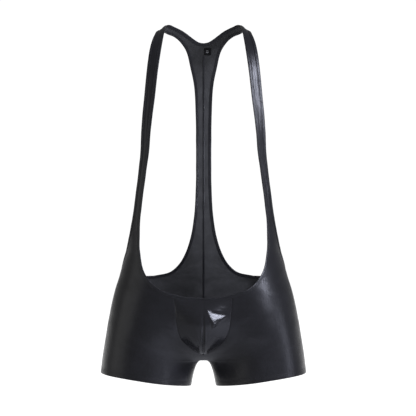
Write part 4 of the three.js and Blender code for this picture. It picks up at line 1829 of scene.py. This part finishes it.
@dataclass
class Studio:
    """Camera, lights, floor and backdrop, in metres.

    Args:
        distance: how far the camera stands in front of the garment's middle plane.
        centre: what it looks at: distance from the middle, and height.
        view: width that it takes in there.
        sensor: its sensor's width, in millimetres.
        lit: what the soft boxes face.
        floor: level of the floor.
        floor_radius: its radius.
        floor_corners: corners of its outline.
        floor_tone: how pale it is.
        floor_roughness: how rough it is.
        fade: how far behind the garment the room's glow starts, and is full.
        low_edge: how far below it the glow starts, and is full.
        high_edge: how far up it ends, and is full.
        dim: light of the room elsewhere.
        bright: light of the glow, and of the backdrop that the camera sees.
    """

    distance: float = 2.6
    centre: tuple[float, float] = (0.0083, -0.337)
    view: float = 0.7696
    sensor: float = 36.0
    lit: tuple[float, float, float] = (0.0, 0.0, -0.4)
    floor: float = -1.3
    floor_radius: float = 2.4
    floor_corners: int = 96
    floor_tone: float = 0.75
    floor_roughness: float = 0.8
    fade: tuple[float, float] = (0.4, 0.95)
    low_edge: tuple[float, float] = (-0.5, -0.3)
    high_edge: tuple[float, float] = (0.06, -0.1)
    dim: float = 0.17
    bright: float = 1.05

    def camera(self) -> None:
        """Sets the camera level with the middle of the garment."""
        data = bpy.data.cameras.new("camera")
        data.sensor_width = self.sensor
        data.lens = self.sensor * self.distance / self.view
        camera = bpy.data.objects.new("camera", data)
        camera.location = (self.centre[0], -self.distance, self.centre[1])
        camera.rotation_euler = (math.pi / 2, 0, 0)
        bpy.context.scene.collection.objects.link(camera)
        bpy.context.scene.camera = camera

    def ground(self) -> None:
        """Lays a round pale floor below the garment."""
        bpy.ops.object.select_all(action="DESELECT")
        bpy.ops.mesh.primitive_circle_add(
            vertices=self.floor_corners, radius=self.floor_radius, fill_type="NGON",
            location=(0, 0, self.floor),
        )
        ground = bpy.context.object
        ground.name = "floor"
        paper = bpy.data.materials.new("pale_floor")
        paper.use_nodes = True
        shader = paper.node_tree.nodes["Principled BSDF"]
        shader.inputs["Base Color"].default_value = (*[self.floor_tone] * 3, 1)
        shader.inputs["Roughness"].default_value = self.floor_roughness
        ground.data.materials.append(paper)

    def faded(
        self, tree: bpy.types.NodeTree, value: bpy.types.NodeSocket, low: float, high: float
    ) -> bpy.types.NodeSocket:
        """Adds a soft step from 0 to 1.

        Args:
            tree: the room's nodes.
            value: what it follows.
            low: value below which it is 0.
            high: value above which it is 1.

        Returns:
            The step.
        """
        step = tree.nodes.new("ShaderNodeMapRange")
        step.interpolation_type = "SMOOTHSTEP"
        step.inputs["From Min"].default_value = low
        step.inputs["From Max"].default_value = high
        tree.links.new(value, step.inputs["Value"])
        return step.outputs["Result"]

    def room(self) -> None:
        """Surrounds the garment with a plain pale room whose light comes from low behind it."""
        world = bpy.data.worlds.new("room")
        world.use_nodes = True
        tree = world.node_tree
        way = tree.nodes.new("ShaderNodeTexCoord")
        parts = tree.nodes.new("ShaderNodeSeparateXYZ")
        tree.links.new(way.outputs["Generated"], parts.inputs["Vector"])
        behind = self.faded(tree, parts.outputs["Y"], *self.fade)
        above = self.faded(tree, parts.outputs["Z"], *self.low_edge)
        below = self.faded(tree, parts.outputs["Z"], *self.high_edge)
        glow = combined(tree, "MULTIPLY", combined(tree, "MULTIPLY", behind, above), below)
        glow = combined(tree, "MULTIPLY", glow, self.bright)
        glow = combined(tree, "ADD", glow, self.dim)
        seen = tree.nodes.new("ShaderNodeLightPath").outputs["Is Camera Ray"]
        seen = combined(tree, "MULTIPLY", seen, self.bright)
        light = tree.nodes["Background"]
        light.inputs["Color"].default_value = (1, 1, 1, 1)
        tree.links.new(combined(tree, "MAXIMUM", glow, seen), light.inputs["Strength"])
        bpy.context.scene.world = world

    def build(self) -> None:
        """Sets up the whole studio."""
        bpy.context.scene.view_settings.view_transform = "Standard"
        self.camera()
        self.ground()
        self.room()
        for box in SOFT_BOXES:
            box.build(self.lit)


FRONT_FOLDS: dict[Hand, Sequence[Fold]] = {
    Hand.LEFT: (
        Fold(78, -22, 93, -158, 1.5, 0.5, 2),
        Fold(82, -30, 99.5, -196, 1.6, 0.55, 1),
        Fold(86.5, -34, 101, -148, 1.3, -0.4, 1.5),
        Fold(88, -88, 102, -214, 1.2, -0.35, 1),
        Fold(95, -190, 106, -292, 1.5, 0.4, 1),
        Fold(103, -236, 118, -352, 1.9, -0.4, 2),
        Fold(54, -545, 92, -530, 5, 0.5, 3),
        Fold(60, -575, 120, -566, 9, 0.7, -4),
    ),
    Hand.RIGHT: (
        Fold(82, -26, 100, -205, 1.5, 0.5, 2),
        Fold(77, -24, 90, -134, 1.4, -0.4, 1),
        Fold(90, -52, 103.5, -236, 1.2, 0.45, 1),
        Fold(98, -196, 112, -318, 1.6, 0.4, 1),
        Fold(108, -300, 122, -392, 2.2, -0.4, 2),
        Fold(48, -563, 68, -552, 2.6, 0.8, 1),
        Fold(47, -573, 66, -562.5, 2.6, 0.8, 1),
        Fold(58, -586, 112, -575, 9, 0.7, -4),
    ),
}
BACK_FOLDS: dict[Hand, Sequence[Fold]] = {
    Hand.LEFT: (
        Fold(8, -560, 60, -584, 9, 1.0, 5),
        Fold(24, -600, 82, -612, 8, 0.9, 6),
        Fold(40, -470, 110, -492, 11, 0.8, 5),
    ),
    Hand.RIGHT: (
        Fold(8, -552, 66, -579, 8, 1.1, 6),
        Fold(26, -603, 74, -617, 8, 0.8, 5),
        Fold(46, -474, 120, -500, 12, 0.7, 6),
    ),
}
POUCH_FOLDS: dict[Hand, Sequence[Fold]] = {
    Hand.LEFT: (
        Fold(20, -513, 44, -517, 2.2, 0.3, 0.5),
        Fold(17, -540, 32, -535, 1.8, -0.6, 1),
        Fold(3.9, -541, 3.9, -577, 1.4, 1.3),
    ),
    Hand.RIGHT: (
        Fold(22, -511, 46, -510, 2.0, 0.5, 0.5),
        Fold(20, -521, 47, -521, 2.0, 0.6, 0.5),
        Fold(22, -526, 47, -527, 2.0, 0.5, 0.5),
        Fold(15, -546, 8, -592, 3.0, 0.8, -4),
        Fold(3.4, -541, 3.4, -577, 1.4, 1.3),
    ),
}


@dataclass
class Singlet:
    """The whole garment: panels, pouch, bindings, stitches and label."""

    cut: Cut = field(default_factory=Cut)

    def panels(self) -> tuple[Cloth, ...]:
        """Lists the front and back panels.

        Returns:
            The panels.
        """
        rows = front_rows(self.cut), back_rows(self.cut)
        front = Cloth("front", FRONT, rows[0], FRONT_FOLDS, 0.4, (0.195, 0.705), 0.0466)
        back = Cloth("back", BACK, rows[1], BACK_FOLDS, 2.6, (0.225, 0.78), 0.0562)
        return front, back

    def bindings(self) -> tuple[Binding, ...]:
        """Lists the bindings.

        Returns:
            The bindings of one half.
        """
        cut = self.cut
        return (
            Binding("neck_band_front", FRONT, cut.front_neck, -NECK_BAND, True, FRONT_FOLDS, 0.3),
            Binding("neck_band_back", BACK, cut.back_neck, -NECK_BAND, True, BACK_FOLDS, 1.9),
            Binding("arm_band_front", FRONT, cut.front_arm, ARM_BAND, False, FRONT_FOLDS, 3.1),
            Binding("arm_band_back", BACK, cut.back_arm, ARM_BAND, False, BACK_FOLDS, 4.4),
        )

    def build(self) -> None:
        """Builds every piece and logs its name."""
        for panel in self.panels():
            for hand in Hand:
                made, lines = panel.build(hand)
                side = hand.name.lower()
                sewn = [Stitching(f"{panel.name}_{side}_hem_stitches").build(lines, hand)]
                if panel.wall is BACK:
                    sewn.append(Allowance(self.cut).build(hand))
                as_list(sewn)
                LOG.info("%s with its hem", made.name)
        pouch = Pouch(self.cut, POUCH_FOLDS)
        for hand in Hand:
            made = pouch.build(hand)
            LOG.info("%s", made.name)
        for binding in self.bindings():
            for hand in Hand:
                made, lines = binding.build(hand)
                side = hand.name.lower()
                sewn = Stitching(f"{binding.name}_{side}_stitches").build(lines, hand)
                length = arc_of(binding.wall.at(binding.edge))[-1] * MM
                LOG.info("%s with its stitches", made.name)
        tab, *bars = Label(self.cut).build()
        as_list(bars)
        LOG.info("%s", tab.name)


def main() -> None:
    """Builds the garment and its studio."""
    logging.basicConfig(level=logging.INFO, format="%(name)s: %(message)s")
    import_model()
    Singlet().build()
    Studio().build()


if __name__ == "__main__":
    main()
